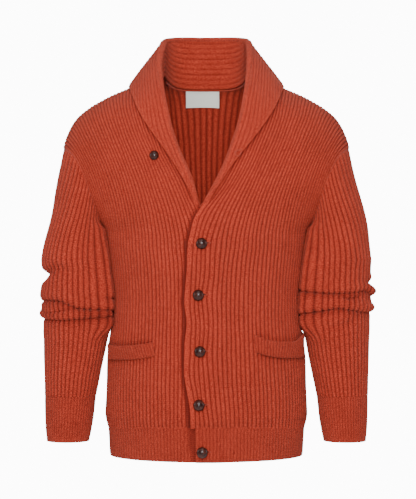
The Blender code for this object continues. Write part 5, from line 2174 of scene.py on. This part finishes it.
@dataclass(frozen=True)
class Button:
    """A domed leather button."""

    name: str
    x: float
    z: float
    diameter: float = 0.0205
    stand_off: float = 0.0014
    profile: Table = (
        (0.00, 0.440), (0.16, 0.436), (0.33, 0.418), (0.50, 0.380), (0.66, 0.325), (0.80, 0.255),
        (0.91, 0.180), (0.975, 0.125), (1.0, 0.085), (0.975, 0.045), (0.88, 0.015), (0.6, 0.0), (0.0, 0.0),
    )

    def build(self, front: FrontPanel, finishes: Finishes) -> Object:
        """Spins the button from its profile and sets it square on the cloth.

        Args:
            front: the front it is set on.
            finishes: the cardigan's finishes.

        Returns:
            The piece.
        """
        turned = bmesh.new()
        verts = [turned.verts.new((r * self.diameter / 2, 0.0, h * self.diameter)) for r, h in self.profile]
        edges = [turned.edges.new(pair) for pair in zip(verts, verts[1:])]
        whole = {"cent": (0, 0, 0), "axis": (0, 0, 1), "angle": 2 * math.pi, "steps": 40, "use_merge": True}
        bmesh.ops.spin(turned, geom=[*verts, *edges], **whole)
        bmesh.ops.remove_doubles(turned, verts=turned.verts, dist=1e-6)
        bmesh.ops.recalc_face_normals(turned, faces=turned.faces)
        laid = front.laid(self.x * front.side.value, self.z, self.stand_off)
        place, normal = (part * front.side.flip for part in laid)
        turn = Vector(normal).to_track_quat("Z", "Y").to_matrix().to_4x4()
        bmesh.ops.transform(turned, matrix=Matrix.Translation(Vector(place)) @ turn, verts=turned.verts)
        mesh = bpy.data.meshes.new(f"{self.name}_leather")
        turned.to_mesh(mesh)
        turned.free()
        return ride(place_object(f"{self.name}_leather", mesh, finishes.leather), Slot.LEATHER, [self.name])


@dataclass(frozen=True)
class Buttonhole:
    """A stitched hole: a ring of thread round a dark thread that stands for the painted shadow in the slit.
    """

    name: str
    x: float
    z: float
    length: float = 0.0100
    width: float = 0.0030
    thread: float = 0.0007
    ring_lift: float = 0.0017
    slit_lift: float = 0.0014

    def build(self, front: FrontPanel, finishes: Finishes) -> None:
        """Makes the ring, and the dark thread of painted shadow in the slit.

        Args:
            front: the front it is set on.
            finishes: the cardigan's finishes.
        """
        turn = np.linspace(0.0, 2 * math.pi, 36, endpoint=False)
        x = self.x + self.length / 2 * np.cos(turn)
        z = self.z + self.width / 2 * np.sin(turn) * (1.0 - 0.35 * np.cos(turn))
        ring, _ = front.laid(x, z, self.ring_lift)
        fine = {"closed": True, "pulse": 0.25, "pitch": 0.0012}
        ThreadLine(f"{self.name}_stitching", ring, self.thread, **fine).build(finishes.thread)
        # a dark thread along the slit, as its painted shadow
        x = self.x + np.linspace(-0.40, 0.40, 12) * self.length
        slit, _ = front.laid(x, np.full_like(x, self.z), self.slit_lift)
        ThreadLine(f"{self.name}_slit", slit, self.width * 0.34).build(finishes.shadow_thread)


@dataclass(frozen=True)
class CollarLoop:
    """The yarn loop on the collar's edge that the chest button goes through."""

    centre: Pair = (0.0560, -0.1290)
    length: float = 0.0130
    width: float = 0.0085
    slant: float = math.radians(45.0)
    radius: float = 0.0009
    lift: float = 0.0112

    def build(self, front: FrontPanel, finishes: Finishes) -> Object:
        """Makes the loop, lying on the collar.

        Args:
            front: the front it is set on.
            finishes: the cardigan's finishes.

        Returns:
            The piece.
        """
        turn = np.linspace(0.0, 2 * math.pi, 40, endpoint=False)
        along = self.length / 2 * np.cos(turn)
        across = self.width / 2 * np.sin(turn) * (1.0 - 0.45 * np.cos(turn))
        c, s = math.cos(self.slant), math.sin(self.slant)
        x = self.centre[0] + along * c - across * s
        z = self.centre[1] + along * s + across * c
        path, _ = front.laid(x, z, self.lift)
        path = path * front.side.flip
        line = ThreadLine("collar_loop", path, self.radius, closed=True, pulse=0.2, pitch=0.0018)
        return line.build(finishes.thread)


@dataclass
class Fastenings:
    """The buttons, buttonholes and collar loop."""

    buttons: tuple[Button, ...] = tuple(Button(f"button_{i}", *k) for i, k in enumerate(BUTTON_PLACES, 1))
    chest: Button = Button("button_chest", *CHEST_PLACE, 0.0175)
    hole_step: float = 0.0105

    def build(self, left: FrontPanel, right: FrontPanel, finishes: Finishes) -> None:
        """Makes all of them.

        Args:
            left: the wearer's left front.
            right: the wearer's right front.
            finishes: the cardigan's finishes.
        """
        for button in self.buttons:
            button.build(left, finishes)
            hole = Buttonhole(f"{button.name}_hole", button.x + self.hole_step, button.z + 0.0012)
            hole.build(left, finishes)
        self.chest.build(right, finishes)
        CollarLoop().build(left, finishes)


# --- the setting


@dataclass
class Setting:
    """Camera, light and floor."""

    camera_place: Triple = (0.003, -3.0, -0.299)
    lens: float = 117.0
    floor_height: float = -1.55
    floor_radius: float = 4.2
    ambient: float = 0.25
    backdrop: float = 12.0
    aim: Triple = (0.0, 0.0, -0.28)
    lamp_columns: Columns = ("name", "place", "size", "power")
    lamps: tuple[tuple[str, Triple, float, float], ...] = (
        ("front", (0.1, -3.9, 0.1), 1.2, 76.0),
        ("chest", (0.0, -1.4, 0.20), 0.45, 11.0),
        ("key", (-1.6, -3.0, 1.9), 2.4, 16.0),
        ("above", (0.0, -1.8, 3.0), 2.2, 30.0),
        ("glint", (-0.8, -1.6, 0.8), 0.22, 4.2),
        ("back", (0.8, 3.9, 0.9), 2.0, 80.0),
        ("left", (3.9, 0.4, 0.6), 2.0, 26.0),
        ("right", (-3.9, 0.4, 0.6), 2.0, 26.0),
    )

    def build(self) -> None:
        """Adds the camera, the lamps, the backdrop and the floor."""
        camera = bpy.data.cameras.new("camera")
        camera.lens = self.lens
        camera.sensor_width = 36.0
        camera.clip_end = 200.0
        obj = bpy.data.objects.new("camera", camera)
        obj.location = self.camera_place
        obj.rotation_euler = (math.pi / 2, 0.0, 0.0)
        bpy.context.scene.collection.objects.link(obj)
        bpy.context.scene.camera = obj
        for lamp in self.lamps:
            self._light(**dict(zip(self.lamp_columns, lamp)))
        self._world()
        self._floor()

    def _world(self) -> None:
        """A plain white backdrop that lights the cloth only softly."""
        world = bpy.data.worlds.new("studio")
        world.use_nodes = True
        tree = world.node_tree
        path = tree.nodes.new("ShaderNodeLightPath")
        strength = tree.nodes.new("ShaderNodeMapRange")
        strength.inputs["To Min"].default_value = self.ambient
        strength.inputs["To Max"].default_value = self.backdrop
        tree.links.new(path.outputs["Is Camera Ray"], strength.inputs["Value"])
        tree.links.new(strength.outputs[0], tree.nodes["Background"].inputs["Strength"])
        tree.nodes["Background"].inputs["Color"].default_value = (1.0, 1.0, 1.0, 1.0)
        bpy.context.scene.world = world

    def _light(self, name: str, place: Triple, size: float, power: float) -> None:
        """A soft square lamp aimed at the chest.

        Args:
            name: the lamp's name.
            place: where it stands.
            size: its width.
            power: its strength in watts.
        """
        lamp = bpy.data.lights.new(name, "AREA")
        lamp.shape = "SQUARE"
        lamp.size = size
        lamp.energy = power
        obj = bpy.data.objects.new(name, lamp)
        obj.location = place
        aim = Vector(self.aim) - Vector(place)
        obj.rotation_euler = aim.to_track_quat("-Z", "Y").to_euler()
        bpy.context.scene.collection.objects.link(obj)

    def _floor(self) -> None:
        """A plain pale floor."""
        disc = bmesh.new()
        bmesh.ops.create_circle(disc, cap_ends=True, segments=96, radius=self.floor_radius)
        bmesh.ops.translate(disc, verts=disc.verts, vec=(0.0, 0.0, self.floor_height))
        mesh = bpy.data.meshes.new("floor")
        disc.to_mesh(mesh)
        disc.free()
        web = Web("pale_floor")
        place = web.place()
        grain = web.noise(place, 3.0, 2.0)
        colour = web.mix(grain, rgba((0.95, 0.95, 0.95)), rgba((0.98, 0.98, 0.98)))
        web.set(Base_Color=colour, Roughness=0.9)
        obj = place_object("floor", mesh, web.material)


def dress_bags(frame: dict[str, Any], finishes: Finishes) -> None:
    """Gives the pocket bags their cloth.

    Args:
        finishes: the cardigan's finishes.
    """
    for side in Side:
        bag = frame["nodes"][f"pocket_bag_{side.word}"]
        bag.data.materials.clear()
        bag.data.materials.append(finishes.plain)


def main() -> None:
    """Builds the cardigan in order."""
    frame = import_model()
    finishes = Finishes()
    left, right = FrontPanel(Side.LEFT), FrontPanel(Side.RIGHT)
    BackPanel().build(finishes)
    for front in (left, right):
        front.build(finishes)
        Sleeve(front.side).build(finishes)
        Cuff(front.side).build(finishes)
        PocketWelt(front).build(finishes)
    ShawlCollar(left, right).build(finishes)
    width = float(TORSO.curves["hem_half_width"](TORSO.hem_bottom))
    quarter = math.pi / 2
    top_start = math.asin(float(left.edge(TORSO.hem_bottom)) / width)
    under_start = math.asin(float(right.edge(TORSO.hem_bottom)) / width)
    HemWelt("hem_welt_back", "hem_back", Facing.BACK, -quarter, quarter).build(finishes, left)
    HemWelt("hem_welt_left", "hem_left", Facing.FRONT, top_start, quarter).build(finishes, left)
    HemWelt("hem_welt_right", "hem_right", Facing.FRONT, -quarter, -under_start).build(finishes, left)
    Seams().build(finishes)
    NeckLabel().build(finishes)
    Fastenings().build(left, right, finishes)
    dress_bags(frame, finishes)
    Setting().build()


if __name__ == "__main__":
    logging.basicConfig(level=logging.INFO, format="%(name)s: %(message)s")
    main()
